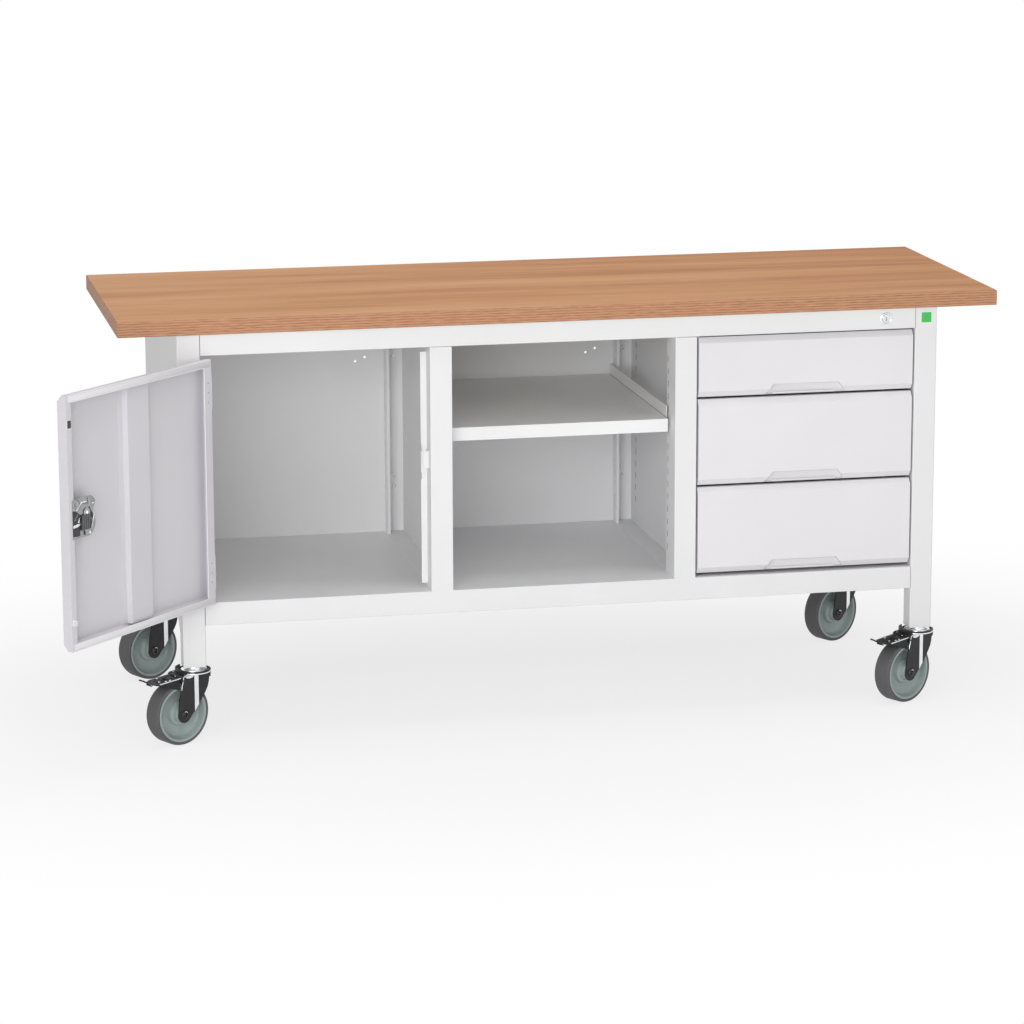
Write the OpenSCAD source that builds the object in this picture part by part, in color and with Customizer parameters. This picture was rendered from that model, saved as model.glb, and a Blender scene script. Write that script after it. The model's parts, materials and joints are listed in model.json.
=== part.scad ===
// Mobile workbench: plywood top on a folded-steel frame with a cupboard bay, a shelf bay and three drawers.
// Millimetres. +X right, +Y to the back, +Z up. Origin on the floor under the centre of the worktop.

/* [Worktop] */
// Length of the worktop, side to side
top_length = 1750; // [1640:10:2000]
// Depth of the worktop, front to back
top_depth = 600; // [580:5:750]
// Thickness of the plywood worktop
top_thickness = 30; // [20:1:50]
// Small chamfer round the worktop's edges
top_arris = 1; // [0.5:0.5:3]

/* [Frame] */
// Width of the steel frame over its legs
frame_width = 1520; // [1460:10:1580]
// Depth of the steel frame over its legs
frame_depth = 550; // [530:5:570]
// Width of a leg's front face
leg_width = 45; // [40:1:60]
// Depth of a leg
leg_depth = 40; // [36:1:60]
// Wall of the leg tube
leg_wall = 2; // [1.5:0.5:2.5]
// Rounding of a leg's outward corners
leg_corner = 2.5; // [2.5:0.5:4]
// Thickness of the plate that closes a leg's foot
foot_plate = 4; // [3:1:8]
// Free length of leg below the base rail
leg_drop = 83; // [60:1:140]
// Height of the base rails
base_rail_height = 45; // [35:1:70]
// Height of the head rails
head_rail_height = 45; // [40:1:70]
// Clear height of the bays between the rails
opening_height = 487; // [470:1:520]
// How far a rail's flanges reach back
rail_depth = 32; // [25:1:34]
// Sheet of the rails and the side panels
rail_sheet = 1.5; // [1:0.25:2]
// Flange at the top and foot of a side panel
side_flange = 20; // [15:1:30]
// Corner gusset of a side panel, where it meets the legs
gusset = 25; // [10:1:50]

/* [Partitions] */
// Width of an intermediate post's face
post_width = 44; // [42:1:60]
// Sheet of the partitions, floor, back and shelf
sheet = 1.2; // [1:0.1:1.5]
// Outer bend radius of a post's front corners
post_bend = 2; // [2:0.5:3]
// Depth of the slotted return behind a post's face
post_return = 68; // [66:1:80]
// Width of a partition's rear flange
rear_flange = 40; // [30:1:42]
// Depth of the slotted return at the back
rear_return = 33; // [30:1:45]
// Small hem on the rear return
rear_hem = 6; // [4:1:10]
// Shadow gap between a post's top end and the head rail
post_head_gap = 0.5; // [0.5:0.5:2]

/* [Shelf slots] */
// Number of slots in a column
slot_count = 16; // [12:1:17]
// Slot pitch
slot_pitch = 25.4; // [25:0.1:26]
// Slot height
slot_height = 12; // [10:1:14]
// Slot width
slot_width = 5; // [4:0.5:6]
// First slot's centre above the floor panel
slot_low = 54.2; // [50:0.1:60]
// Front slot column, from the frame's front
slot_front = 57; // [50:1:60]
// Rear slot column in the rear return, from the frame's back
slot_rear = 18; // [15:1:20]
// Rear slot column in the partition's web, from the frame's back
slot_web_rear = 46; // [45:1:60]

/* [Shelf] */
// Slot, counted from the lowest as 0, that the shelf brackets hook into
shelf_slot = 10; // [4:1:13]
// Shelf's top above the centre of that slot
shelf_over_slot = 9.8; // [8:0.1:12]
// Height of the shelf's folded edges
shelf_edge = 26; // [20:1:40]
// Gap between the shelf's end and its bracket
shelf_side_gap = 0.5; // [0.3:0.1:2]
// Shelf's front edge behind the frame's front
shelf_setback = 36; // [30:1:40]
// Gap between the shelf and the back panel
shelf_back_gap = 6; // [2:1:20]
// How far a bracket stands above the shelf
bracket_rise = 23; // [15:1:30]
// Foot of a bracket, under the shelf
bracket_foot = 14; // [10:1:20]
// Thickness of a bracket
bracket_sheet = 1.5; // [1:0.25:2]
// Gap between a bracket and the slotted return it hooks into
bracket_standoff = 3.7; // [3:0.1:5]
// Clearance of a bracket's hook in its slot
hook_clearance = 0.4; // [0.2:0.1:0.6]

/* [Fronts] */
// Thickness of the door and of the drawer fronts
front_thickness = 21; // [20:1:25]
// Height of the bevel at a front's top and foot
bevel_height = 12; // [8:1:14]
// Depth of that bevel
bevel_depth = 10; // [6:1:11]
// Folded lip round the back of a front
front_lip = 14; // [12:1:16]

/* [Door] */
// How far the door stands open, in degrees
door_open = 134; // [100:1:170]
// Gap beside the door
door_side_gap = 3.5; // [3.5:0.5:4]
// Gap above and below the door
door_end_gap = 3; // [2:0.5:5]
// Lip on the door's hinge side
hinge_lip = 22; // [18:1:24]
// Hinge pin in front of the frame
pin_forward = 3.4; // [3.4:0.2:5]
// Radius of the hinge pins
pin_radius = 1.8; // [1.5:0.1:2]
// Radius of the hinge knuckles
knuckle_radius = 3.2; // [3:0.1:3.4]
// Height of a hinge
hinge_height = 67; // [50:1:80]
// Hinge's centre from the door's end
hinge_end_offset = 64; // [50:1:100]
// Thickness of a hinge leaf
leaf_sheet = 1.4; // [1.2:0.1:1.5]
// Depth of a hinge leaf
leaf_depth = 21; // [15:1:23]
// Crown width of the door stiffener
stiffener_crown = 72; // [50:1:90]
// Width of each flange of the stiffener
stiffener_flange = 12; // [8:1:20]
// Slope of the stiffener's flanks, sideways
stiffener_slope = 6; // [3:1:10]
// Gap between the stiffener and the plane of the door's lips
stiffener_clear = 4; // [2:1:8]
// Latch spindle from the door's free edge
spindle_inset = 46; // [42:1:48]
// Latch spindle above the door's lower end
spindle_height = 257; // [200:1:300]
// Radius of the latch spindle
spindle_radius = 5; // [4:0.5:6]
// Width of the latch case
case_width = 61; // [50:1:62]
// Height of the latch case
case_height = 75; // [60:1:90]
// Free edge of the latch case from the door's edge
case_inset = 15; // [15:1:18]
// Latch case's centre below the spindle
case_drop = 8; // [4:1:10]
// Length of the latch cam from its spindle
cam_reach = 43; // [42:1:44]
// Width of the latch cam
cam_width = 18; // [14:1:22]
// Thickness of the latch cam
cam_thickness = 3; // [2:0.5:4]
// Length of the door handle's grip
handle_length = 80; // [60:1:84]
// Thickness of the handle's grip
handle_bar = 12; // [8:1:16]
// Handle's grip in front of the door
handle_standoff = 14; // [8:1:25]
// Radius of the handle's rose
rose_radius = 18; // [14:1:24]
// Thickness of the handle's rose
rose_thickness = 3; // [2:0.5:5]
// Gap between the door's lips and the latch cam
cam_gap = 3.4; // [3:0.1:4]
// Radius of the white door buffer
buffer_radius = 6; // [4:0.5:6]
// Thickness of the buffer
buffer_thickness = 3.5; // [2:0.5:5]
// Buffer's centre above the door's lower end
buffer_height = 54; // [30:1:100]

/* [Strike strip] */
// Front face of the strip behind the frame's front
strike_setback = 42; // [42:1:44]
// Width of the strip's face
strike_face = 11.5; // [10:0.5:12]
// Depth of the strip's leg on the return
strike_leg = 18; // [14:1:22]
// Strip's ends short of the opening's ends
strike_end_gap = 8; // [5:1:20]
// Height of the catch notches in the strip
strike_notch = 14; // [8:1:20]
// Height of the keeper that the latch cam turns behind
keeper_height = 34; // [24:1:40]
// Gap between the door's lips and the keeper
keeper_gap = 1.4; // [1.2:0.1:1.6]

/* [Drawers] */
// Heights of the drawer fronts, top to bottom
drawer_heights = [121, 172.5, 174.5];
// Gap above the top drawer
drawer_top_gap = 2; // [2:0.5:4]
// Gap between drawers
drawer_gap = 5; // [4:0.5:6]
// Gap beside the drawer fronts
drawer_side_gap = 4; // [3:0.5:5]
// Height of the drawer boxes, top to bottom
box_heights = [85, 135, 135];
// Box above the lower edge of its front
box_lift = 12; // [12:1:20]
// Depth of the drawer boxes
box_depth = 480; // [400:5:490]
// Travel of a drawer
drawer_travel = 450; // [300:10:460]
// Width of a finger grip at its mouth
grip_mouth = 164; // [120:1:200]
// Width of a finger grip at its top
grip_top = 132; // [90:1:160]
// Height of a finger grip
grip_height = 22; // [18:1:30]
// Depth of a finger grip
grip_depth = 16; // [14:1:19]
// How far the grip reaches up behind the face
grip_reach = 8; // [4:1:12]
// Height of the grip's lower lip
grip_lip = 4; // [3:0.5:7]
// Sheet of the grip
grip_sheet = 1; // [0.8:0.1:1.2]

/* [Slides] */
// Space for a slide on each side of a drawer box
slide_space = 13; // [13:0.5:14]
// Height of the fixed slide members
slide_height = 45; // [42:1:46]
// Length of the slides
slide_length = 470; // [350:10:480]
// Sheet of the slides
slide_sheet = 1.5; // [1.2:0.1:1.5]
// Running gap between slide members
slide_play = 0.5; // [0.4:0.1:0.6]
// Slides' centre above the foot of a drawer box
slide_rise = 30; // [25:1:35]

/* [Rail lock and badge] */
// Lock's centre from the right leg
lock_inset = 61; // [40:1:120]
// Centre of the lock and the badge above the head rail's lower edge
lock_rise = 21.3; // [20:0.1:24]
// Radius of the lock's flange
lock_flange_radius = 12.5; // [11:0.5:15]
// Radius of the lock's body
lock_body_radius = 10; // [9.5:0.5:10.5]
// Radius of the turning barrel
barrel_radius = 8.2; // [7:0.1:8.5]
// Length of the lock behind the rail's face
lock_length = 22; // [15:1:25]
// Height of the lock's flange
lock_flange_height = 2.5; // [1.5:0.5:4]
// Side of the square badge
badge_side = 23.5; // [15:0.5:30]
// Thickness of the badge
badge_thickness = 1; // [0.5:0.5:2]

/* [Castors] */
// Height of a castor from the floor to the leg
castor_height = 150; // [150:1:160]
// Radius of a wheel
wheel_radius = 62.5; // [60:0.5:63]
// Width of a tyre
tyre_width = 38; // [30:1:39]
// Thickness of a tyre
tyre_thickness = 5.5; // [4:0.5:8]
// Width of a rim's ring
rim_width = 34; // [24:1:36]
// Radial depth of a rim's ring
rim_ring = 7; // [5:1:10]
// Thickness of a rim's web
rim_web = 8; // [6:1:14]
// Radius of a wheel's hub
hub_radius = 15; // [12:1:20]
// Width of a wheel's hub
hub_width = 41; // [38:1:42]
// Radius of an axle
axle_radius = 6; // [5:0.5:7]
// Trail of a castor
trail = 42; // [36:1:44]
// Direction in which the castors trail, in degrees from +X
trail_direction = 209.7; // [180:0.1:240]
// Space between a fork's arms
fork_space = 43; // [43:1:46]
// Thickness of a fork
fork_sheet = 2.5; // [2:0.5:4]
// Radius of a fork's foot round the axle
fork_foot_radius = 15; // [12:1:18]
// Radius of a fork's crown
crown_radius = 33; // [30:1:36]
// Thickness of a fork's crown
crown_thickness = 3.5; // [3:0.5:4]
// Radius of the swivel head
head_radius = 31; // [28:1:32]
// Height of the swivel head, split between fork and mount
head_height = 14; // [12:1:16]
// Running gap in the swivel head
head_play = 0.5; // [0.3:0.1:1]
// Radius of the mount's neck under the leg
neck_radius = 19; // [16:1:20]
// Height of that neck
neck_height = 5; // [3:1:6]
// Radius of the king pin and its bolt
king_radius = 6; // [5:0.5:8]
// Length of the bolt inside a leg
king_bolt = 30; // [20:1:60]
// Radius of the nuts on axles and king pins
nut_radius = 9; // [8:0.5:10]
// Height of an axle nut
nut_height = 3; // [2:0.5:6]

/* [Brake pedals] */
// Pedal pivot from the swivel axis
pedal_pivot = 40; // [40:1:42]
// Pedal's length from its pivot
pedal_length = 61; // [50:1:80]
// Pedal's fall towards its tip, in degrees
pedal_fall = 3.4; // [0:0.2:5]
// Pedal's width
pedal_width = 42; // [42:0.1:42.2]
// Thickness of the pedal's tread
pedal_sheet = 2; // [1.5:0.5:2]
// Thickness of the pedal's side skirts
skirt_sheet = 1.5; // [1.2:0.1:1.5]
// Skirts' rear edge from the pivot
skirt_start = 9.5; // [9.5:0.5:14]
// Depth of the skirts at their rear edge
skirt_depth = 20.5; // [12:0.5:21]
// Radius of the pedal's pivot pin
pedal_pin_radius = 2; // [1.5:0.5:2]
// Length of the release tab
tab_length = 24; // [10:1:30]
// Radius of the release tab
tab_radius = 1.2; // [1:0.1:2]
// Release tab's place to the far side of the pedal's middle
tab_shift = 13; // [0:1:15]

/* [Fits] */
// Radial clearance of a shaft that turns in its bore
running_fit = 0.05; // [0.02:0.01:0.1]
// Clearance of a screw or bolt in its hole
screw_fit = 0.2; // [0.1:0.1:0.5]
// Gap between panels that lie side by side
panel_gap = 0.3; // [0.2:0.1:0.5]

/* [Screws] */
// Radius of the worktop screws
top_screw_radius = 3; // [2:0.5:4]
// Length of a worktop screw in the wood
top_screw_bite = 20; // [10:1:19]
// Radius of the panel screws
panel_screw_radius = 2; // [1.5:0.5:2.5]
// Panel screws' column, from the middle of the rear flange
panel_screw_shift = -1; // [-4:1:8]

/* [Hidden] */
$fn = 64;
eps = 0.01;

// Colours
paint = "#e9e9ec";
front_paint = "#e6e4ea";
zinc = "#c4c7ca";
fork_black = "#2b2b2d";

// Heights of the frame, from the floor up
base_z = castor_height + leg_drop;
floor_z = base_z + base_rail_height;
head_z = floor_z + opening_height;
frame_top_z = head_z + head_rail_height;

// Front and back planes of the frame, and the legs' inner faces
front_y = -frame_depth / 2;
rear_y = frame_depth / 2;
side_x = frame_width / 2;
leg_in_x = side_x - leg_width;
leg_in_y = rear_y - leg_depth;
bay_width = (frame_width - 2 * leg_width - 2 * post_width) / 3;
back_face_y = rear_y - sheet;

// Post and web of partition 0 (left) and 1 (right)
function post_x(i) = -leg_in_x + (i + 1) * bay_width + i * post_width;
function web_x(i) = post_x(i) + post_width;

// Slots
slot_zs = [for (k = [0 : slot_count - 1]) floor_z + slot_low + k * slot_pitch];
slot_front_y = front_y + slot_front;
slot_rear_y = rear_y - slot_rear;
slot_web_y = rear_y - slot_web_rear;

// Shelf: it stands on the brackets' feet, and the brackets hang by hooks in the slots
hook_z = slot_zs[shelf_slot];
shelf_top_z = hook_z + shelf_over_slot;
bracket_top_z = shelf_top_z + bracket_rise;
bracket_low_z = shelf_top_z - shelf_edge - bracket_sheet;
bracket_right_x = post_x(1) - bracket_standoff;
bracket_left_x = web_x(0) + bracket_standoff;
shelf_x0 = bracket_left_x + bracket_sheet + shelf_side_gap;
shelf_x1 = bracket_right_x - bracket_sheet - shelf_side_gap;
shelf_y0 = front_y + shelf_setback;
shelf_y1 = back_face_y - shelf_back_gap;

// Door, drawn closed and then swung open about its pin
hinge_pin_x = -leg_in_x + door_side_gap / 2;
hinge_pin_y = front_y - pin_forward;
door_x0 = -leg_in_x + door_side_gap;
door_x1 = post_x(0) - door_side_gap;
door_z0 = floor_z + door_end_gap;
door_z1 = head_z - door_end_gap;
door_back_y = front_y + front_thickness;
spindle_x = door_x1 - spindle_inset;
spindle_z = door_z0 + spindle_height;
case_mid_z = spindle_z - case_drop;
hinge_zs = [door_z0 + hinge_end_offset, door_z1 - hinge_end_offset];
cam_y = door_back_y + cam_gap;
keeper_y = door_back_y + keeper_gap;

// Drawers
drawer_x0 = web_x(1);
drawer_x1 = leg_in_x;
drawer_mid_x = (drawer_x0 + drawer_x1) / 2;
function drawer_top(i) = i == 0
    ? head_z - drawer_top_gap
    : drawer_top(i - 1) - drawer_heights[i - 1] - drawer_gap;
function drawer_low(i) = drawer_top(i) - drawer_heights[i];
function slide_z(i) = drawer_low(i) + box_lift + slide_rise;
box_y0 = front_y + front_thickness;
slide_y0 = box_y0 + 2;

// Lock and badge
lock_x = leg_in_x - lock_inset;
lock_z = head_z + lock_rise;
badge_x = side_x - leg_width / 2;

// Castors
castor_x = side_x - leg_width / 2;
castor_y = rear_y - leg_depth / 2;
fork_half = fork_space / 2 + fork_sheet;
head_top_z = castor_height - neck_height;
head_low_z = head_top_z - head_height;
head_split_z = head_low_z + head_height * 0.4;
crown_low_z = head_low_z - crown_thickness;
rim_radius = wheel_radius - tyre_thickness;
pedal_hub = pedal_pin_radius + 1.2;
pedal_z = head_low_z + pedal_hub + 0.4;

// ---------- shared shapes ----------

// Extrudes a YZ outline along X
module along_x(x0, x1) {
    translate([x0, 0, 0])
        rotate([90, 0, 90])
            linear_extrude(x1 - x0)
                children();
}

// Extrudes an XZ outline along Y
module along_y(y0, y1) {
    translate([0, y1, 0])
        rotate([90, 0, 0])
            linear_extrude(y1 - y0)
                children();
}

// A box given by two corners
module block(low, high) {
    translate(low)
        cube(high - low);
}

// A cylinder along Y
module rod_y(x, z, radius, y0, y1) {
    translate([x, y1, z])
        rotate([90, 0, 0])
            cylinder(h = y1 - y0, r = radius);
}

// Outline of a folded channel, open towards +X, with rounded outer bends
module channel(depth, height, wall) {
    difference() {
        union() {
            translate([wall, 0])
                square([depth - wall, height]);
            translate([0, wall])
                square([wall, height - 2 * wall]);
            for (z = [wall, height - wall])
                translate([wall, z])
                    circle(r = wall);
        }
        translate([wall, wall])
            square([depth, height - 2 * wall]);
    }
}

// Rectangle with its two -Y corners rounded
module front_rounded(width, depth, radius) {
    translate([0, radius])
        square([width, depth - radius]);
    translate([radius, 0])
        square([width - 2 * radius, radius]);
    for (x = [radius, width - radius])
        translate([x, radius])
            circle(r = radius);
}

// Mirrors front to back
module at_rear() {
    mirror([0, 1, 0])
        children();
}

// ---------- worktop ----------

module worktop() {
    half_x = top_length / 2;
    half_y = top_depth / 2;
    top_z = frame_top_z + top_thickness;
    color("#c08a5c")
        difference() {
            intersection() {
                along_y(-half_y, half_y)
                    chamfered(-half_x, half_x, frame_top_z, top_z);
                along_x(-half_x, half_x)
                    chamfered(-half_y, half_y, frame_top_z, top_z);
            }
            top_screw_places()
                translate([0, 0, frame_top_z - eps])
                    cylinder(h = top_screw_bite + screw_fit + eps, r = top_screw_radius + running_fit);
        }
}

// Rectangle with all four corners cut by the worktop's arris
module chamfered(u0, u1, v0, v1) {
    a = top_arris;
    polygon([
        [u0 + a, v0], [u1 - a, v0], [u1, v0 + a], [u1, v1 - a],
        [u1 - a, v1], [u0 + a, v1], [u0, v1 - a], [u0, v0 + a]
    ]);
}

// Screws that hold the top: two in each bay, front and back
module top_screw_places() {
    for (y = [-1, 1], i = [0 : 2], share = [0.25, 0.75])
        translate([-leg_in_x + i * (bay_width + post_width) + share * bay_width,
                   y * (rear_y - rail_depth / 2), 0])
            children();
}

module worktop_screws() {
    color(zinc)
        top_screw_places() {
            translate([0, 0, frame_top_z - rail_sheet - panel_gap])
                cylinder(h = rail_sheet + panel_gap + top_screw_bite, r = top_screw_radius);
            translate([0, 0, frame_top_z - rail_sheet - top_screw_radius])
                cylinder(h = top_screw_radius, r = 2 * top_screw_radius);
        }
}

// ---------- frame ----------

// A leg: a closed tube with rounded outward corners and a foot plate for the castor's bolt
module front_leg(side) {
    height = frame_top_z - castor_height;
    color(paint)
        translate([side * castor_x, front_y, castor_height])
            difference() {
                translate([-leg_width / 2, 0, 0])
                    linear_extrude(height)
                        front_rounded(leg_width, leg_depth, leg_corner);
                translate([leg_wall - leg_width / 2, leg_wall, foot_plate])
                    linear_extrude(height)
                        front_rounded(leg_width - 2 * leg_wall, leg_depth - 2 * leg_wall,
                                      leg_corner - leg_wall + eps);
                translate([0, leg_depth / 2, -eps])
                    cylinder(h = foot_plate + 2 * eps, r = king_radius + screw_fit);
            }
}

module rear_leg(side) {
    at_rear()
        front_leg(side);
}

// Side panel: a channel between the legs, flush with their outer faces, with a gusset in each lower corner
module side_panel_left() {
    color(paint) {
        along_y(-leg_in_y, leg_in_y)
            translate([-side_x, base_z])
                channel(side_flange, frame_top_z - base_z, rail_sheet);
        for (side = [-1, 1])
            along_x(-side_x, -side_x + rail_sheet)
                polygon([
                    [side * leg_in_y, base_z - gusset],
                    [side * leg_in_y, base_z + rail_sheet],
                    [side * (leg_in_y - gusset), base_z + rail_sheet],
                    [side * (leg_in_y - gusset), base_z]
                ]);
    }
}

module side_panel_right() {
    mirror([1, 0, 0])
        side_panel_left();
}

module head_rail() {
    difference() {
        along_x(-leg_in_x, leg_in_x)
            translate([front_y, head_z])
                channel(rail_depth, head_rail_height, rail_sheet);
        top_screw_places()
            translate([0, 0, frame_top_z - rail_sheet - eps])
                cylinder(h = rail_sheet + 2 * eps, r = top_screw_radius + screw_fit);
    }
}

module head_rail_front() {
    color(paint)
        difference() {
            head_rail();
            rod_y(lock_x, lock_z, lock_body_radius + screw_fit, front_y - eps, front_y + rail_sheet + eps);
        }
}

module head_rail_rear() {
    color(paint)
        at_rear()
            head_rail();
}

// Base rail: the floor panels lie on its upper flange, level with the top of its face
module base_rail() {
    flange_z = floor_z - sheet;
    along_x(-leg_in_x, leg_in_x) {
        translate([front_y, base_z])
            channel(rail_depth, flange_z - base_z, rail_sheet);
        translate([front_y, flange_z - rail_sheet])
            square([rail_sheet, sheet + rail_sheet]);
    }
}

module base_rail_front() {
    color(paint)
        base_rail();
}

module base_rail_rear() {
    color(paint)
        at_rear()
            base_rail();
}

// Floor: one tray per bay, joined under the partitions, notched round the legs
module floor_panels() {
    inner_x = side_x - rail_sheet - panel_gap;
    joint_x = [for (i = [0, 1]) web_x(i) - sheet / 2];
    edges = [-inner_x, joint_x[0], joint_x[1], inner_x];
    y_edge = rear_y - rail_sheet - panel_gap;
    y_tray = rear_y - rail_depth - panel_gap;
    tray_drop = 15;
    color(paint)
        for (i = [0 : 2]) {
            x0 = edges[i] + (i == 0 ? 0 : panel_gap / 2);
            x1 = edges[i + 1] - (i == 2 ? 0 : panel_gap / 2);
            difference() {
                union() {
                    block([x0, -y_edge, floor_z - sheet], [x1, y_edge, floor_z]);
                    for (x = [x0, x1 - sheet])
                        block([x, -y_tray, floor_z - tray_drop], [x + sheet, y_tray, floor_z]);
                }
                for (sx = [-1, 1], sy = [-1, 1])
                    translate([sx * side_x, sy * rear_y, floor_z])
                        cube([2 * (leg_width + panel_gap), 2 * (leg_depth + panel_gap), 4 * tray_drop],
                             center = true);
            }
        }
}

// Back: one panel per bay between the rear legs and rails, with small holes high up beside each partition
module back_panels() {
    hole_radius = 2.5;
    hole_places = [[-100, -122], [-80, -114]];
    edges = [-leg_in_x, web_x(0) - rear_flange / 4, web_x(1) - rear_flange / 4, leg_in_x];
    color(paint)
        difference() {
            for (i = [0 : 2])
                block([edges[i] + (i == 0 ? 0 : panel_gap / 2), back_face_y, floor_z],
                      [edges[i + 1] - (i == 2 ? 0 : panel_gap / 2), rear_y, head_z]);
            for (i = [0, 1], place = hole_places)
                rod_y(web_x(i) + place[0], head_z + place[1], hole_radius, back_face_y - eps, rear_y + eps);
            panel_screw_places()
                rod_y(0, 0, panel_screw_radius + screw_fit, back_face_y - eps, rear_y + eps);
        }
}

// Panel screws, in each partition's rear flange beside the joint of the back panels
module panel_screw_places() {
    share = [0.2, 0.245, 0.765];
    for (i = [0, 1], s = share)
        translate([web_x(i) - rear_flange / 2 + panel_screw_shift, 0, floor_z + s * opening_height])
            children();
}

module panel_screws() {
    head_y = back_face_y - sheet;
    color(zinc)
        panel_screw_places() {
            rod_y(0, 0, 1.9 * panel_screw_radius, head_y - panel_screw_radius, head_y);
            rod_y(0, 0, panel_screw_radius, head_y - eps, rear_y + 2);
        }
}

// Partition: a folded sheet whose front flange is the post; its web closes the post's right edge
module partition(i) {
    web_low_z = floor_z;
    web_head_z = frame_top_z;
    post_head_z = head_z - post_head_gap;
    flange_x = web_x(i) - rear_flange;
    difference() {
        union() {
            translate([post_x(i), front_y, floor_z])
                linear_extrude(post_head_z - floor_z)
                    difference() {
                        front_rounded(post_width, post_return, post_bend);
                        translate([sheet, sheet])
                            square([post_width - 2 * sheet, post_return]);
                    }
            block([web_x(i) - sheet, front_y + post_return - eps, web_low_z],
                  [web_x(i), back_face_y, post_head_z]);
            block([web_x(i) - sheet, front_y + rail_depth + panel_gap, post_head_z - eps],
                  [web_x(i), rear_y - rail_depth - panel_gap, web_head_z]);
            block([flange_x, back_face_y - sheet, web_low_z], [web_x(i), back_face_y, post_head_z]);
            block([flange_x, back_face_y - rear_return, web_low_z],
                  [flange_x + sheet, back_face_y, post_head_z]);
            block([flange_x, back_face_y - rear_return, web_low_z],
                  [flange_x + rear_hem, back_face_y - rear_return + sheet, post_head_z]);
            block([flange_x, front_y + sheet, web_low_z],
                  [web_x(i), back_face_y - sheet, web_low_z + sheet]);
        }
        for (z = slot_zs) {
            slot(post_x(i), slot_front_y, z);
            slot(flange_x, slot_rear_y, z);
            slot(web_x(i) - sheet, slot_front_y, z);
            slot(web_x(i) - sheet, slot_web_y, z);
        }
        panel_screw_places()
            rod_y(0, 0, panel_screw_radius + screw_fit, back_face_y - sheet - eps, back_face_y + eps);
    }
}

// One slot through a sheet that starts at x
module slot(x, y, z) {
    translate([x - eps, y - slot_width / 2, z - slot_height / 2])
        cube([sheet + 2 * eps, slot_width, slot_height]);
}

module partition_left() {
    color(paint)
        partition(0);
}

module partition_right() {
    color(paint)
        partition(1);
}

// Panel between the right legs that carries the drawers' right-hand slides
module runner_panel() {
    fold = 15;
    color(paint) {
        block([leg_in_x, -leg_in_y, floor_z], [leg_in_x + sheet, leg_in_y, frame_top_z]);
        for (y = [-leg_in_y, leg_in_y - sheet])
            block([leg_in_x, y, floor_z], [leg_in_x + fold, y + sheet, frame_top_z]);
    }
}

// ---------- shelf ----------

// Shelf: a tray turned upside down
module shelf() {
    low_z = shelf_top_z - shelf_edge;
    color(paint)
        difference() {
            block([shelf_x0, shelf_y0, low_z], [shelf_x1, shelf_y1, shelf_top_z]);
            block([shelf_x0 + sheet, shelf_y0 + sheet, low_z - eps],
                  [shelf_x1 - sheet, shelf_y1 - sheet, shelf_top_z - sheet]);
        }
}

// Hook of a bracket, a plate in a slot that reaches through the slotted sheet
module bracket_hook(x_from, x_to, y) {
    half_w = slot_width / 2 - hook_clearance;
    half_h = slot_height / 2 - hook_clearance;
    block([x_from, y - half_w, hook_z - half_h], [x_to, y + half_w, hook_z + half_h]);
}

// Brackets: an angle each side, hooked into the partitions' slots at the front and the back
module shelf_brackets() {
    y0 = slot_front_y - slot_width;
    right_y1 = slot_rear_y + slot_width / 2;
    left_y1 = slot_web_y + slot_width;
    color(zinc) {
        block([bracket_right_x - bracket_sheet, y0, bracket_low_z],
              [bracket_right_x, right_y1, bracket_top_z]);
        block([bracket_right_x - bracket_foot, y0, bracket_low_z],
              [bracket_right_x, right_y1, bracket_low_z + bracket_sheet]);
        block([bracket_left_x, y0, bracket_low_z],
              [bracket_left_x + bracket_sheet, left_y1, bracket_top_z]);
        block([bracket_left_x, y0, bracket_low_z],
              [bracket_left_x + bracket_foot, left_y1, bracket_low_z + bracket_sheet]);
    }
}

// Hooks, welded to the brackets
module bracket_hooks() {
    reach = sheet + 1;
    color(zinc) {
        bracket_hook(bracket_right_x, post_x(1) + reach, slot_front_y);
        bracket_hook(bracket_right_x, web_x(1) - rear_flange + reach, slot_rear_y);
        bracket_hook(web_x(0) - reach, bracket_left_x, slot_front_y);
        bracket_hook(web_x(0) - reach, bracket_left_x, slot_web_y);
    }
}

// ---------- cupboard ----------

// Strike strip: an angle on the left post's return, notched, with a keeper that stands forward at the latch
module strike_strip() {
    x1 = post_x(0);
    y0 = front_y + strike_setback;
    z0 = floor_z + strike_end_gap;
    z1 = head_z - 2 * strike_end_gap;
    notch_zs = [case_mid_z - 2 * strike_notch, case_mid_z + 2 * strike_notch];
    color("#ffffff")
        difference() {
            union() {
                block([x1 - strike_face, y0, z0], [x1, y0 + sheet, z1]);
                block([x1 - sheet, y0, z0], [x1, y0 + strike_leg, z1]);
                block([x1 - strike_face, keeper_y, spindle_z - keeper_height / 2],
                      [x1, keeper_y + sheet, spindle_z + keeper_height / 2]);
                block([x1 - sheet, keeper_y, spindle_z - keeper_height / 2],
                      [x1, y0 + sheet, spindle_z + keeper_height / 2]);
            }
            for (z = notch_zs)
                block([x1 - strike_face - eps, y0 - eps, z - strike_notch / 2],
                      [x1 - strike_face + 1.5, y0 + sheet + eps, z + strike_notch / 2]);
        }
}

// Swings what is drawn for the closed door to where the door stands open
module door_place() {
    translate([hinge_pin_x, hinge_pin_y, 0])
        rotate([0, 0, -door_open])
            translate([-hinge_pin_x, -hinge_pin_y, 0])
                children();
}

// Section of a pressed front, in depth and height: bevelled at the top and the foot
module front_section(height) {
    polygon([
        [0, bevel_height], [0, height - bevel_height], [bevel_depth, height],
        [front_thickness, height], [front_thickness, 0], [bevel_depth, 0]
    ]);
}

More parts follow.
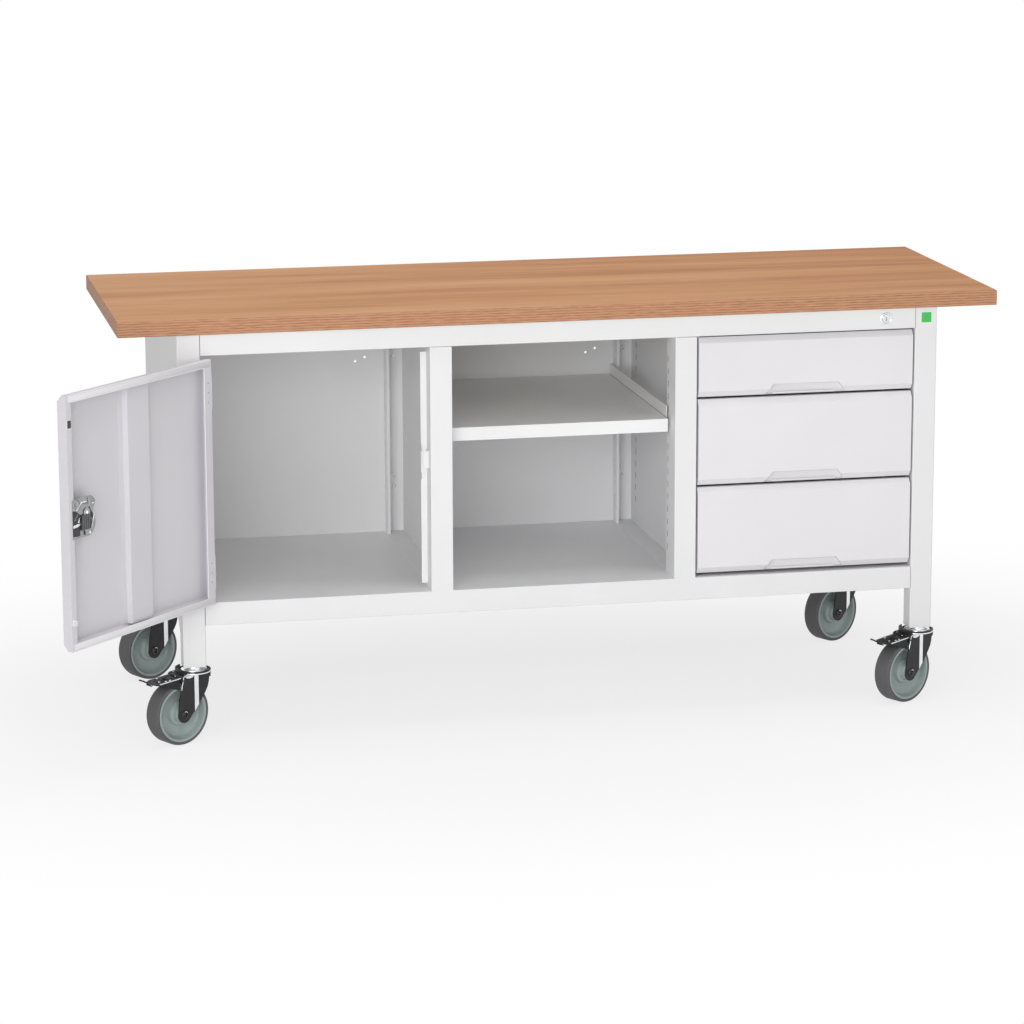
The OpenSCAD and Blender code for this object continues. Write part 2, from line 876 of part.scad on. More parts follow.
// The same section, one sheet further in
module front_hollow_section(height) {
    slope = sqrt(bevel_height * bevel_height + bevel_depth * bevel_depth);
    face_z = bevel_height + sheet * (slope - bevel_height) / bevel_depth;
    edge_y = bevel_depth + sheet * (slope - bevel_depth) / bevel_height;
    back_y = front_thickness - sheet;
    polygon([
        [sheet, face_z], [sheet, height - face_z], [edge_y, height - sheet],
        [back_y, height - sheet], [back_y, sheet], [edge_y, sheet]
    ]);
}

// Pressed front: a hollow tray with bevels, closed ends and lips round its open back
module pressed_front(x0, x1, z0, z1, lip_left, lip_right) {
    height = z1 - z0;
    difference() {
        along_x(x0, x1)
            translate([front_y, z0])
                front_section(height);
        along_x(x0 + sheet, x1 - sheet)
            translate([front_y, z0])
                front_hollow_section(height);
        block([x0 + lip_left, front_y + front_thickness - 2 * sheet, z0 + front_lip],
              [x1 - lip_right, front_y + front_thickness + eps, z1 - front_lip]);
    }
}

module door_panel() {
    hole_top = 62;
    hole_side = 17;
    bolt_hole = 2.2;
    color(front_paint)
        door_place()
            difference() {
                pressed_front(door_x0, door_x1, door_z0, door_z1, hinge_lip, front_lip);
                block([door_x1 - front_lip - eps, door_back_y - sheet - eps, door_z1 - hole_top],
                      [door_x1 - sheet, door_back_y + eps, door_z1 - hole_top + hole_side]);
                rod_y(spindle_x, spindle_z, spindle_radius + screw_fit, front_y - eps, front_y + 2 * sheet);
                rod_y(door_x1 - front_lip / 2, door_z0 + buffer_height, buffer_radius / 2 + screw_fit,
                      door_back_y - sheet - eps, door_back_y + eps);
                for (z = hinge_zs, dz = [-0.28, 0, 0.28])
                    rod_y(door_x0 + hinge_lip * 0.45, z + dz * hinge_height, bolt_hole,
                          door_back_y - sheet - eps, door_back_y + eps);
            }
}

// Hat section up the middle of the door's inside
module door_stiffener() {
    mid_x = (door_x0 + door_x1) / 2;
    skin_y = front_y + sheet;
    crown_y = door_back_y - stiffener_clear;
    half = stiffener_crown / 2;
    foot = half + stiffener_slope;
    edge = foot + stiffener_flange;
    color(front_paint)
        door_place()
            translate([mid_x, 0, door_z0 + bevel_height + 1.5])
                linear_extrude(door_z1 - door_z0 - 2 * (bevel_height + 1.5))
                    polygon([
                        [-edge, skin_y], [-foot + sheet, skin_y], [-half + sheet, crown_y - sheet],
                        [half - sheet, crown_y - sheet], [foot - sheet, skin_y], [edge, skin_y],
                        [edge, skin_y + sheet], [foot, skin_y + sheet], [half, crown_y],
                        [-half, crown_y], [-foot, skin_y + sheet], [-edge, skin_y + sheet]
                    ]);
}

// White buffer pressed into the free-side lip
module door_buffer() {
    x = door_x1 - front_lip / 2;
    z = door_z0 + buffer_height;
    color("#f8f8f8")
        door_place() {
            rod_y(x, z, buffer_radius, door_back_y, door_back_y + buffer_thickness);
            rod_y(x, z, buffer_radius / 2, door_back_y - 2 * sheet, door_back_y + eps);
        }
}

// Knuckle of a hinge with its bore
module knuckle(z, height) {
    translate([hinge_pin_x, hinge_pin_y, z - height / 2])
        cylinder(h = height, r = knuckle_radius);
}

module knuckle_bores() {
    for (z = hinge_zs)
        translate([hinge_pin_x, hinge_pin_y, z - hinge_height / 2 - eps])
            cylinder(h = hinge_height + 2 * eps, r = pin_radius + running_fit);
}

third = hinge_height / 3;
leaf_clear = knuckle_radius + 0.6;

// Fixed leaves, on the inner face of the left front leg, with the outer two knuckles
module hinge_leaves_frame() {
    x0 = -leg_in_x;
    half = (third - panel_gap) / 2;
    color(zinc)
        difference() {
            for (z = hinge_zs) {
                block([x0, hinge_pin_y + leaf_clear, z - hinge_height / 2],
                      [x0 + leaf_sheet, hinge_pin_y + leaf_clear + leaf_depth, z + hinge_height / 2]);
                for (side = [-1, 1]) {
                    knuckle(z + side * third, third - panel_gap);
                    block([x0, hinge_pin_y, z + side * third - half],
                          [x0 + leaf_sheet, hinge_pin_y + leaf_clear + eps, z + side * third + half]);
                }
            }
            knuckle_bores();
        }
}

// Moving leaves, on the door's hinge edge, with the middle knuckle
module hinge_leaves_door() {
    x1 = door_x0;
    height = third - panel_gap;
    color(front_paint)
        door_place()
            difference() {
                for (z = hinge_zs) {
                    block([x1 - leaf_sheet, hinge_pin_y + leaf_clear, z - hinge_height / 2],
                          [x1, hinge_pin_y + leaf_clear + leaf_depth, z + hinge_height / 2]);
                    knuckle(z, height);
                    block([x1 - leaf_sheet, hinge_pin_y, z - height / 2],
                          [x1, hinge_pin_y + leaf_clear + eps, z + height / 2]);
                }
                knuckle_bores();
            }
}

module hinge_pins() {
    color(zinc)
        for (z = hinge_zs) {
            translate([hinge_pin_x, hinge_pin_y, z - hinge_height / 2])
                cylinder(h = hinge_height, r = pin_radius);
            translate([hinge_pin_x, hinge_pin_y, z + hinge_height / 2])
                cylinder(h = 1, r = knuckle_radius - 0.4);
        }
}

// Latch case: a hollow pressed cover with two cut corners, round the spindle
module latch_case() {
    x1 = door_x1 - case_inset;
    x0 = x1 - case_width;
    z0 = case_mid_z - case_height / 2;
    y0 = front_y + sheet;
    y1 = door_back_y;
    cut = 12;
    wall = sheet;
    hub = spindle_radius + 2;
    color(zinc)
        door_place()
            difference() {
                along_y(y0, y1)
                    case_outline(x0, x1, z0, z0 + case_height, cut);
                along_y(y0 + wall, y1 - wall)
                    case_outline(x0 + wall, x1 - wall, z0 + wall, z0 + case_height - wall, cut);
                rod_y(spindle_x, spindle_z, spindle_radius + screw_fit, y0 - eps, y1 + eps);
                for (share = [0.2, 0.8])
                    rod_y(x0 + 1.6 * cut, z0 + share * case_height, hub / 2, y1 - wall - eps, y1 + eps);
            }
}

module case_outline(x0, x1, z0, z1, cut) {
    polygon([
        [x0 + cut, z0], [x1, z0], [x1, z1], [x0 + cut, z1], [x0, z1 - cut], [x0, z0 + cut]
    ]);
}

// Cam and spindle: the cam hangs down when the latch is free and turns behind the keeper
module latch_cam() {
    color(zinc)
        door_place() {
            rod_y(spindle_x, spindle_z, spindle_radius,
                  front_y - rose_thickness - handle_standoff, cam_y + eps);
            rod_y(spindle_x, spindle_z, cam_width / 2, cam_y, cam_y + cam_thickness);
            block([spindle_x - cam_width / 2, cam_y, spindle_z - cam_reach + cam_width / 4],
                  [spindle_x + cam_width / 2, cam_y + cam_thickness, spindle_z]);
            block([spindle_x - cam_width / 4, cam_y, spindle_z - cam_reach],
                  [spindle_x + cam_width / 4, cam_y + cam_thickness, spindle_z]);
        }
}

module handle_rose() {
    color(fork_black)
        door_place()
            difference() {
                rod_y(spindle_x, spindle_z, rose_radius, front_y - rose_thickness, front_y);
                rod_y(spindle_x, spindle_z, spindle_radius + running_fit,
                      front_y - rose_thickness - eps, front_y + eps);
            }
}

// Handle: a bar across the spindle's outer end, seated on the spindle
module door_handle() {
    y1 = front_y - rose_thickness - panel_gap;
    y0 = y1 - handle_standoff - handle_bar;
    half = handle_length / 2;
    color(fork_black)
        door_place()
            difference() {
                union() {
                    rod_y(spindle_x, spindle_z, 1.6 * spindle_radius, y0 + handle_bar / 2, y1);
                    along_y(y0, y0 + handle_bar)
                        rounded_bar(spindle_x, spindle_z, half, handle_bar / 2);
                }
                rod_y(spindle_x, spindle_z, spindle_radius + running_fit,
                      front_y - rose_thickness - handle_standoff - running_fit, y1 + eps);
            }
}

// Upright bar with round ends
module rounded_bar(x, z, half_length, radius) {
    translate([x - radius, z - half_length + radius])
        square([2 * radius, 2 * (half_length - radius)]);
    for (dz = [-1, 1])
        translate([x, z + dz * (half_length - radius)])
            circle(r = radius);
}

// ---------- drawers ----------

// Outline of the finger grip, as wide as its mouth at the foot, made taller and grown sideways
module grip_outline(z0, rise, margin) {
    lean = (grip_mouth - grip_top) / 2 / grip_height;
    height = grip_height + rise;
    foot = grip_mouth / 2 + margin;
    head = grip_mouth / 2 - lean * height + margin;
    polygon([
        [drawer_mid_x - foot, z0], [drawer_mid_x + foot, z0],
        [drawer_mid_x + head, z0 + height], [drawer_mid_x - head, z0 + height]
    ]);
}

// Drawer front with its finger grip: a pocket that reaches up behind the face, and a lip to pull on
module drawer_front(i) {
    x0 = drawer_x0 + drawer_side_gap;
    x1 = drawer_x1 - drawer_side_gap;
    z0 = drawer_low(i);
    y_back = front_y + grip_depth;
    lip_y = front_y + bevel_depth;
    color(front_paint) {
        difference() {
            union() {
                pressed_front(x0, x1, z0, drawer_top(i), front_lip, front_lip);
                intersection() {
                    along_y(front_y, y_back)
                        grip_outline(z0, grip_reach + grip_sheet, grip_sheet);
                    along_x(x0, x1)
                        translate([front_y, z0])
                            front_section(drawer_heights[i]);
                }
            }
            along_y(front_y - eps, y_back - grip_sheet)
                translate([0, sheet])
                    grip_outline(z0, -sheet, 0);
            along_y(front_y + sheet, y_back - grip_sheet)
                translate([0, sheet])
                    grip_outline(z0, grip_reach - sheet, 0);
        }
        block([drawer_mid_x - grip_top / 2, lip_y, z0 + sheet - eps],
              [drawer_mid_x + grip_top / 2, lip_y + grip_sheet, z0 + grip_lip]);
    }
}

// Drawer box: an open tray with the drawer's slide member on each side
module drawer_box(i) {
    x0 = drawer_x0 + slide_space;
    x1 = drawer_x1 - slide_space;
    z0 = drawer_low(i) + box_lift;
    z1 = z0 + box_heights[i];
    member = slide_height - 4 * slide_sheet - 4 * slide_play;
    reach = slide_space - 2 * slide_sheet - 2 * slide_play;
    color("#d9dadd") {
        difference() {
            block([x0, box_y0, z0], [x1, box_y0 + box_depth, z1]);
            block([x0 + sheet, box_y0 + sheet, z0 + sheet],
                  [x1 - sheet, box_y0 + box_depth - sheet, z1 + eps]);
        }
        along_y(slide_y0, slide_y0 + slide_length)
            translate([x0 - reach, slide_z(i) - member / 2])
                mirrored_channel(reach, member);
        along_y(slide_y0, slide_y0 + slide_length)
            translate([x1, slide_z(i) - member / 2])
                channel(reach, member, slide_sheet);
    }
}

// A slide channel open towards -X
module mirrored_channel(depth, height) {
    translate([depth, 0])
        mirror([1, 0])
            channel(depth, height, slide_sheet);
}

// Slide channels of one drawer: level 0 is fixed to the frame, level 1 runs inside it
module slide_pair(i, level) {
    inset = level * (slide_sheet + slide_play);
    height = slide_height - 2 * inset;
    depth = slide_space - slide_sheet - slide_play - inset;
    along_y(slide_y0, slide_y0 + slide_length) {
        translate([drawer_x0 + inset, slide_z(i) - height / 2])
            channel(depth, height, slide_sheet);
        translate([drawer_x1 - inset - depth, slide_z(i) - height / 2])
            mirrored_channel(depth, height);
    }
}

module slides_fixed() {
    color(zinc)
        for (i = [0 : 2])
            slide_pair(i, 0);
}

module slides_middle(i) {
    color(zinc)
        slide_pair(i, 1);
}

// ---------- lock and badge ----------

module lock_housing() {
    color(zinc)
        difference() {
            union() {
                rod_y(lock_x, lock_z, lock_flange_radius, front_y - lock_flange_height, front_y);
                rod_y(lock_x, lock_z, lock_body_radius, front_y - eps, front_y + lock_length);
            }
            rod_y(lock_x, lock_z, barrel_radius + running_fit,
                  front_y - lock_flange_height - eps, front_y + lock_length + eps);
        }
}

// Barrel with its key slot, and the cam behind the housing
module lock_barrel() {
    face_y = front_y - lock_flange_height + 0.5;
    back_y = front_y + lock_length + panel_gap;
    key_width = 2.2;
    cam_length = 16;
    color(zinc) {
        difference() {
            rod_y(lock_x, lock_z, barrel_radius, face_y, back_y + eps);
            block([lock_x - key_width / 2, face_y - eps, lock_z - 0.5 * barrel_radius],
                  [lock_x + key_width / 2, face_y + 8, lock_z + 0.5 * barrel_radius]);
        }
        block([lock_x - cam_length, back_y, lock_z - 5], [lock_x, back_y + 2, lock_z + 5]);
        rod_y(lock_x, lock_z, 7, back_y, back_y + 2);
    }
}

module badge() {
    half = badge_side / 2;
    color("#3fae49")
        block([badge_x - half, front_y - badge_thickness, lock_z - half],
              [badge_x + half, front_y, lock_z + half]);
}

// ---------- castors ----------

// Puts what is drawn trailing along +X under one leg
module castor_place(side_x_sign, side_y_sign) {
    translate([side_x_sign * castor_x, side_y_sign * castor_y, 0])
        rotate([0, 0, trail_direction])
            children();
}

// Fixed part of a castor: neck, upper race, king pin with its nut, and the bolt up into the leg
module castor_mounts() {
    nut_top_z = crown_low_z - panel_gap;
    nut_low_z = nut_top_z - 6;
    color(zinc)
        for (sx = [-1, 1], sy = [-1, 1])
            castor_place(sx, sy) {
                translate([0, 0, head_split_z + head_play])
                    cylinder(h = head_top_z - head_split_z - head_play, r = head_radius);
                translate([0, 0, head_top_z - eps])
                    cylinder(h = neck_height + eps, r = neck_radius);
                translate([0, 0, nut_low_z])
                    cylinder(h = castor_height + king_bolt - nut_low_z, r = king_radius);
                translate([0, 0, nut_low_z])
                    cylinder(h = nut_top_z - nut_low_z, r = nut_radius);
            }
}

// Outline of a fork's arm, in trail and height
module arm_outline() {
    foot = fork_foot_radius;
    translate([trail, wheel_radius])
        circle(r = foot);
    polygon([
        [trail + foot, wheel_radius], [trail + 0.75 * foot, 0.5 * (wheel_radius + crown_low_z) + 6],
        [trail + 4, crown_low_z], [trail + 4, head_low_z], [-crown_radius / 2, head_low_z],
        [-crown_radius / 2, crown_low_z - 8], [-0.2 * crown_radius, crown_low_z - 0.45 * wheel_radius],
        [0.2 * crown_radius, wheel_radius + foot], [trail - 1.5 * foot, wheel_radius + 0.25 * foot],
        [trail - foot, wheel_radius - 0.1 * foot]
    ]);
}

// Fork: crown, lower race, two arms and the axle with its nuts; a braked one has the pedal's ears and pin
module castor_fork(sx, sy, braked) {
    ear_x = pedal_pivot;
    ear_half = fork_space / 2;
    ear_wall = fork_sheet;
    color(fork_black)
        castor_place(sx, sy) {
            difference() {
                union() {
                    translate([0, 0, crown_low_z])
                        linear_extrude(crown_thickness) {
                            circle(r = crown_radius);
                            translate([-crown_radius / 2, -fork_half])
                                square([trail + 4 + crown_radius / 2, 2 * fork_half]);
                        }
                    translate([0, 0, head_low_z - eps])
                        cylinder(h = head_split_z - head_low_z + eps, r = head_radius);
                    for (y = [-fork_half, fork_half - fork_sheet])
                        along_y(y, y + fork_sheet)
                            arm_outline();
                    if (braked)
                        for (y = [-ear_half - ear_wall, ear_half])
                            block([ear_x - 4, y, head_low_z - eps], [ear_x + 4, y + ear_wall, pedal_z + 4]);
                }
                translate([0, 0, crown_low_z - eps])
                    cylinder(h = head_height, r = king_radius + running_fit);
            }
            rod_y(trail, wheel_radius, axle_radius, -fork_half - eps, fork_half + eps);
            for (y = [-fork_half - nut_height, fork_half])
                rod_y(trail, wheel_radius, nut_radius, y, y + nut_height);
            if (braked)
                rod_y(ear_x, pedal_z, pedal_pin_radius, -ear_half - ear_wall, ear_half + ear_wall);
        }
}

// Rim: hub, web and ring turned in one
module rim(sx, sy) {
    bore = axle_radius + running_fit;
    color("#93a19e")
        castor_place(sx, sy)
            translate([trail, 0, wheel_radius])
                rotate([90, 0, 0])
                    rotate_extrude()
                        union() {
                            translate([bore, -hub_width / 2])
                                square([hub_radius - bore, hub_width]);
                            translate([bore, -rim_web / 2])
                                square([rim_radius - bore, rim_web]);
                            translate([rim_radius - rim_ring, -rim_width / 2])
                                square([rim_ring, rim_width]);
                        }
}

// Tyre: a band with rounded shoulders, pressed on the rim
module tyre(sx, sy) {
    shoulder = 0.45 * tyre_thickness;
    half = tyre_width / 2;
    color("#5a5a5c")
        castor_place(sx, sy)
            translate([trail, 0, wheel_radius])
                rotate([90, 0, 0])
                    rotate_extrude() {
                        translate([rim_radius, -half])
                            square([tyre_thickness - shoulder, tyre_width]);
                        translate([rim_radius, -half + shoulder])
                            square([tyre_thickness, tyre_width - 2 * shoulder]);
                        for (side = [-1, 1])
                            translate([wheel_radius - shoulder, side * (half - shoulder)])
                                circle(r = shoulder);
                    }
}

// Brake pedal, pivoted between the fork's ears: a tread, two deep skirts beside the tyre and a release tab
module brake_pedal(sx) {
    half = pedal_width / 2;
    hub = pedal_hub;
    color(fork_black)
        castor_place(sx, -1)
            translate([pedal_pivot, 0, pedal_z])
                difference() {
                    rotate([0, pedal_fall, 0]) {
                        rod_y(0, 0, hub, -half, half);
                        block([-1.4, -half, hub - pedal_sheet], [pedal_length, half, hub]);
                        for (y = [-half, half - skirt_sheet])
                            along_y(y, y + skirt_sheet)
                                polygon([
                                    [skirt_start, hub - eps], [pedal_length - 2, hub - eps],
                                    [pedal_length - 2, hub - pedal_sheet - 1],
                                    [0.6 * pedal_length, -0.55 * skirt_depth],
                                    [skirt_start, -skirt_depth]
                                ]);
                        translate([pedal_length - 3, -tab_shift, hub - tab_radius])
                            rotate([0, 66, 0])
                                cylinder(h = tab_length, r = tab_radius);
                    }
                    rod_y(0, 0, pedal_pin_radius + running_fit, -half - eps, half + eps);
                }
}

// ---------- nodes ----------

worktop();
front_leg(-1);  // leg_front_left
front_leg(1);  // leg_front_right
rear_leg(-1);  // leg_rear_left
rear_leg(1);  // leg_rear_right
side_panel_left();
side_panel_right();
head_rail_front();
head_rail_rear();
base_rail_front();
base_rail_rear();
floor_panels();
back_panels();
partition_left();
partition_right();
runner_panel();
shelf();
shelf_brackets();
bracket_hooks();
strike_strip();
panel_screws();
worktop_screws();
lock_housing();
lock_barrel();
badge();
door_panel();
door_stiffener();
door_buffer();
hinge_leaves_frame();
hinge_leaves_door();
hinge_pins();
latch_case();
latch_cam();
handle_rose();
door_handle();
drawer_front(0);  // drawer_front_top
drawer_front(1);  // drawer_front_middle
drawer_front(2);  // drawer_front_bottom
drawer_box(0);  // drawer_box_top
drawer_box(1);  // drawer_box_middle
drawer_box(2);  // drawer_box_bottom
slides_fixed();
slides_middle(0);  // slides_middle_top
slides_middle(1);  // slides_middle_middle
slides_middle(2);  // slides_middle_bottom
castor_mounts();
castor_fork(-1, -1, true);  // castor_fork_front_left
castor_fork(1, -1, true);  // castor_fork_front_right
castor_fork(-1, 1, false);  // castor_fork_rear_left
castor_fork(1, 1, false);  // castor_fork_rear_right
rim(-1, -1);  // rim_front_left
rim(1, -1);  // rim_front_right
rim(-1, 1);  // rim_rear_left
rim(1, 1);  // rim_rear_right
tyre(-1, -1);  // tyre_front_left
tyre(1, -1);  // tyre_front_right
tyre(-1, 1);  // tyre_rear_left
tyre(1, 1);  // tyre_rear_right
brake_pedal(-1);  // brake_pedal_left
brake_pedal(1);  // brake_pedal_right
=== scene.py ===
"""Looks of the mobile workbench with a cupboard bay, a shelf bay and three drawers.

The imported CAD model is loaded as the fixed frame. Its sheet-metal nodes keep their shape and get
their real finishes. The castors, the rail lock, the badge, and the door's stiffener, latch and
handle are built here in more detail and stand for their CAD nodes. Metres, +X right, +Y back, +Z
up.
"""

import sys
import json
import logging
import math
from dataclasses import dataclass, field
from enum import Enum

import bmesh
import bpy
from mathutils import Matrix, Vector


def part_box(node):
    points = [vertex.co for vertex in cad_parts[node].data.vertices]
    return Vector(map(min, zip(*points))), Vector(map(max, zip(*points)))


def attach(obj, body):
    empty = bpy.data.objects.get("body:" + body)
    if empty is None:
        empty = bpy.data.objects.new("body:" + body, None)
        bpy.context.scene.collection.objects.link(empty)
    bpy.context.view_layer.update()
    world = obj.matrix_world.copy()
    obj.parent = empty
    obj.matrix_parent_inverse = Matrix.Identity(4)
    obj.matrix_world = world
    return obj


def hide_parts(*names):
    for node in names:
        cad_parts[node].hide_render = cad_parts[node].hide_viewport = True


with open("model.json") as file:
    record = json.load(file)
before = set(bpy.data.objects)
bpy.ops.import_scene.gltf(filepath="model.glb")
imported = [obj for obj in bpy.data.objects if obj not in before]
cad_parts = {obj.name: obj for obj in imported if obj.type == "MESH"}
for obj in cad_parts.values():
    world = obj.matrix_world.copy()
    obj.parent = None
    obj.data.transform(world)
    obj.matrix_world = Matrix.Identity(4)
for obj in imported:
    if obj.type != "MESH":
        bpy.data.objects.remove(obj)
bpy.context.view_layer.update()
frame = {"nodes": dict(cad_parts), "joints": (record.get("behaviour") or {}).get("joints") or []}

LOG = logging.getLogger("workbench")
MM = 0.001
CORNERS = ("front_left", "front_right", "rear_left", "rear_right")

Point2 = tuple[float, float]
Point3 = tuple[float, float, float]


# ---------- colours, nodes and materials ----------

def linear(hex_colour: str) -> tuple[float, float, float, float]:
    """Turns an sRGB hex colour into the linear colour that shaders use.

    Args:
        hex_colour: Six hex digits, red first.
    Returns:
        Red, green, blue and alpha, linear.
    """
    parts = [int(hex_colour[i:i + 2], 16) / 255 for i in (0, 2, 4)]
    r, g, b = (c / 12.92 if c <= 0.04045 else ((c + 0.055) / 1.055) ** 2.4 for c in parts)
    return (r, g, b, 1.0)


def add_node(tree: bpy.types.NodeTree, kind: str, settings: dict | None = None,
             inputs: dict | None = None) -> bpy.types.Node:
    """Adds one node with its settings, socket values and links.

    Args:
        tree: The material's or the world's node tree.
        kind: Blender's node type name.
        settings: Node properties by name.
        inputs: Socket values or sockets to link from, by socket name or index.
    Returns:
        The new node.
    """
    node = tree.nodes.new(kind)
    for name, value in (settings or {}).items():
        setattr(node, name, value)
    for name, value in (inputs or {}).items():
        if isinstance(value, bpy.types.NodeSocket):
            tree.links.new(value, node.inputs[name])
        else:
            node.inputs[name].default_value = value
    return node


@dataclass(frozen=True)
class Finish:
    """What every finish has: its slot in the record and the shader's plain numbers."""

    slot: str
    colour: str
    roughness: float
    metallic: float = 0.0
    ior: float = 1.5
    specular: float = 0.5
    edge_mm: float = 0.5

    def start(self) -> tuple[bpy.types.Material, bpy.types.Node, bpy.types.Node]:
        """Makes the material, its main shader and a coordinate node.

        Returns:
            The material, the main shader and the coordinate node.
        """
        material = bpy.data.materials.new(type(self).__name__ + "_" + self.slot)
        material.use_nodes = True
        tree = material.node_tree
        tree.nodes.clear()
        shader = add_node(tree, "ShaderNodeBsdfPrincipled", inputs={
            "Base Color": linear(self.colour), "Roughness": self.roughness,
            "Metallic": self.metallic})
        if self.metallic < 0.5:
            shader.inputs["IOR"].default_value = self.ior
            shader.inputs["Specular IOR Level"].default_value = self.specular
        add_node(tree, "ShaderNodeOutputMaterial", inputs={"Surface": shader.outputs[0]})
        return material, shader, add_node(tree, "ShaderNodeTexCoord")

    def relief(self, tree: bpy.types.NodeTree, height: bpy.types.NodeSocket, depth_mm: float,
               strength: float = 1.0) -> bpy.types.NodeSocket:
        """Adds surface relief over edges rounded by the finish's own edge radius.

        Args:
            tree: The material's tree.
            height: The pattern, from 0 to 1.
            depth_mm: How deep the pattern is.
            strength: How much of it shows.
        Returns:
            The normal to link to the shader.
        """
        edge = add_node(tree, "ShaderNodeBevel", {"samples": 4}, {"Radius": self.edge_mm * MM})
        bump = add_node(tree, "ShaderNodeBump", inputs={
            "Height": height, "Distance": depth_mm * MM, "Strength": strength,
            "Normal": edge.outputs[0]})
        return bump.outputs[0]

    def tones(self, tree: bpy.types.NodeTree, fraction: bpy.types.NodeSocket,
              stops: list[tuple[float, str]]) -> bpy.types.NodeSocket:
        """Maps a pattern to colours.

        Args:
            tree: The material's tree.
            fraction: The pattern.
            stops: Places from 0 to 1 with their hex colours.
        Returns:
            The colour.
        """
        ramp = add_node(tree, "ShaderNodeValToRGB", inputs={"Fac": fraction})
        elements = ramp.color_ramp.elements
        while len(elements) < len(stops):
            elements.new(0.5)
        for element, (place, colour) in zip(elements, stops):
            element.position = place
            element.color = linear(colour)
        return ramp.outputs["Color"]

    def noise(self, tree: bpy.types.NodeTree, where: bpy.types.NodeSocket, size_mm: Point3,
              detail: float = 2.0, rough: float = 0.5) -> bpy.types.NodeSocket:
        """Adds noise whose grains have a real size along each axis.

        Args:
            tree: The material's tree.
            where: Object-space coordinates in metres.
            size_mm: Grain size along X, Y and Z.
            detail: How many finer layers it has.
            rough: How strong the finer layers are.
        Returns:
            The noise, about 0.5 on average.
        """
        stretch = add_node(tree, "ShaderNodeMapping", inputs={
            "Vector": where, "Scale": tuple(1000 / s for s in size_mm)})
        made = add_node(tree, "ShaderNodeTexNoise", inputs={
            "Vector": stretch.outputs[0], "Scale": 1.0, "Detail": detail, "Roughness": rough})
        return made.outputs["Fac"]

    def build(self) -> bpy.types.Material:
        """Makes the material; each kind of finish has its own."""
        raise NotImplementedError


@dataclass(frozen=True)
class Grained(Finish):
    """A finish with a broad cloud of tone, and a fine grain in its gloss and its relief.

    Cloud and grain are each a size in millimetres along X, Y and Z, a detail and a roughness. The
    cloud runs between two tones at its stops: from the shade to the colour, or where shade_last is
    set, from the colour to the shade.
    """

    shade: str = "e4e5e7"
    shade_last: bool = False
    cloud: tuple[Point3, float, float] = ((180, 180, 180), 3, 0.5)
    stops: Point2 = (0.25, 0.75)
    grain: tuple[Point3, float, float] = ((1.2, 1.2, 1.2), 1, 0.5)
    gloss: Point2 | None = None
    grain_depth_mm: float = 0.02
    grain_strength: float = 0.5

    def build(self) -> bpy.types.Material:
        """Makes the material from its cloud and its grain."""
        material, shader, where = self.start()
        tree, spot = material.node_tree, where.outputs["Object"]
        pair = (self.colour, self.shade) if self.shade_last else (self.shade, self.colour)
        colour = self.tones(tree, self.noise(tree, spot, *self.cloud), list(zip(self.stops, pair)))
        tree.links.new(colour, shader.inputs["Base Color"])
        grain = self.noise(tree, spot, *self.grain)
        if self.gloss:
            gloss = add_node(tree, "ShaderNodeMapRange", inputs={
                "Value": grain, "To Min": self.roughness + self.gloss[0],
                "To Max": self.roughness + self.gloss[1]})
            tree.links.new(gloss.outputs[0], shader.inputs["Roughness"])
        normal = self.relief(tree, grain, self.grain_depth_mm, self.grain_strength)
        tree.links.new(normal, shader.inputs["Normal"])
        return material


@dataclass(frozen=True)
class PowderCoat(Grained):
    """Epoxy-polyester powder baked on steel sheet: satin, with a fine orange peel and soft edges.

    The film's thickness wanders over a hand's width, which the eye reads as a faint cloud of tone.
    """

    # Orange peel is about 1 mm across; drawn at 2.4 mm so that it still shows at arm's length
    grain: tuple[Point3, float, float] = ((2.4, 2.4, 2.4), 1, 0.5)
    grain_depth_mm: float = 0.012
    grain_strength: float = 0.6


@dataclass(frozen=True)
class PlatedSteel(Grained):
    """Zinc- or nickel-plated pressed steel: bright, with rolling lines and cloudy passivation."""

    shade: str = "a9adb1"
    cloud: tuple[Point3, float, float] = ((22, 22, 22), 4, 0.6)
    stops: Point2 = (0.3, 0.65)
    # Drawing lines are a few hundredths wide; drawn at 3 mm spacing so that they break the gloss
    grain: tuple[Point3, float, float] = ((3.0, 3.0, 14.0), 2, 0.5)
    gloss: Point2 | None = (-0.08, 0.12)
    grain_strength: float = 0.4


@dataclass(frozen=True)
class BlackCoat(Grained):
    """Black cathodic-dip paint on pressed steel: thin, semi-gloss, paler where it is worn."""

    shade_last: bool = True
    cloud: tuple[Point3, float, float] = ((9, 9, 14), 4, 0.6)
    stops: Point2 = (0.45, 0.8)
    # Dust baked into the film is a few tenths across; drawn at 1.4 mm so that it breaks the gloss
    grain: tuple[Point3, float, float] = ((1.4, 1.4, 1.4), 2, 0.5)
    gloss: Point2 | None = (-0.08, 0.1)
    grain_depth_mm: float = 0.03


@dataclass(frozen=True)
class MouldedPlastic(Grained):
    """Injection-moulded plastic: flow clouds, a fine spark-eroded grain and soft moulded edges."""

    cloud: tuple[Point3, float, float] = ((30, 30, 30), 3, 0.5)
    stops: Point2 = (0.3, 0.7)
    # Spark-eroded grain is 0.1 to 0.3 mm; drawn at 1.2 mm so that it shows
    grain: tuple[Point3, float, float] = ((1.2, 1.2, 1.2), 1, 0.5)


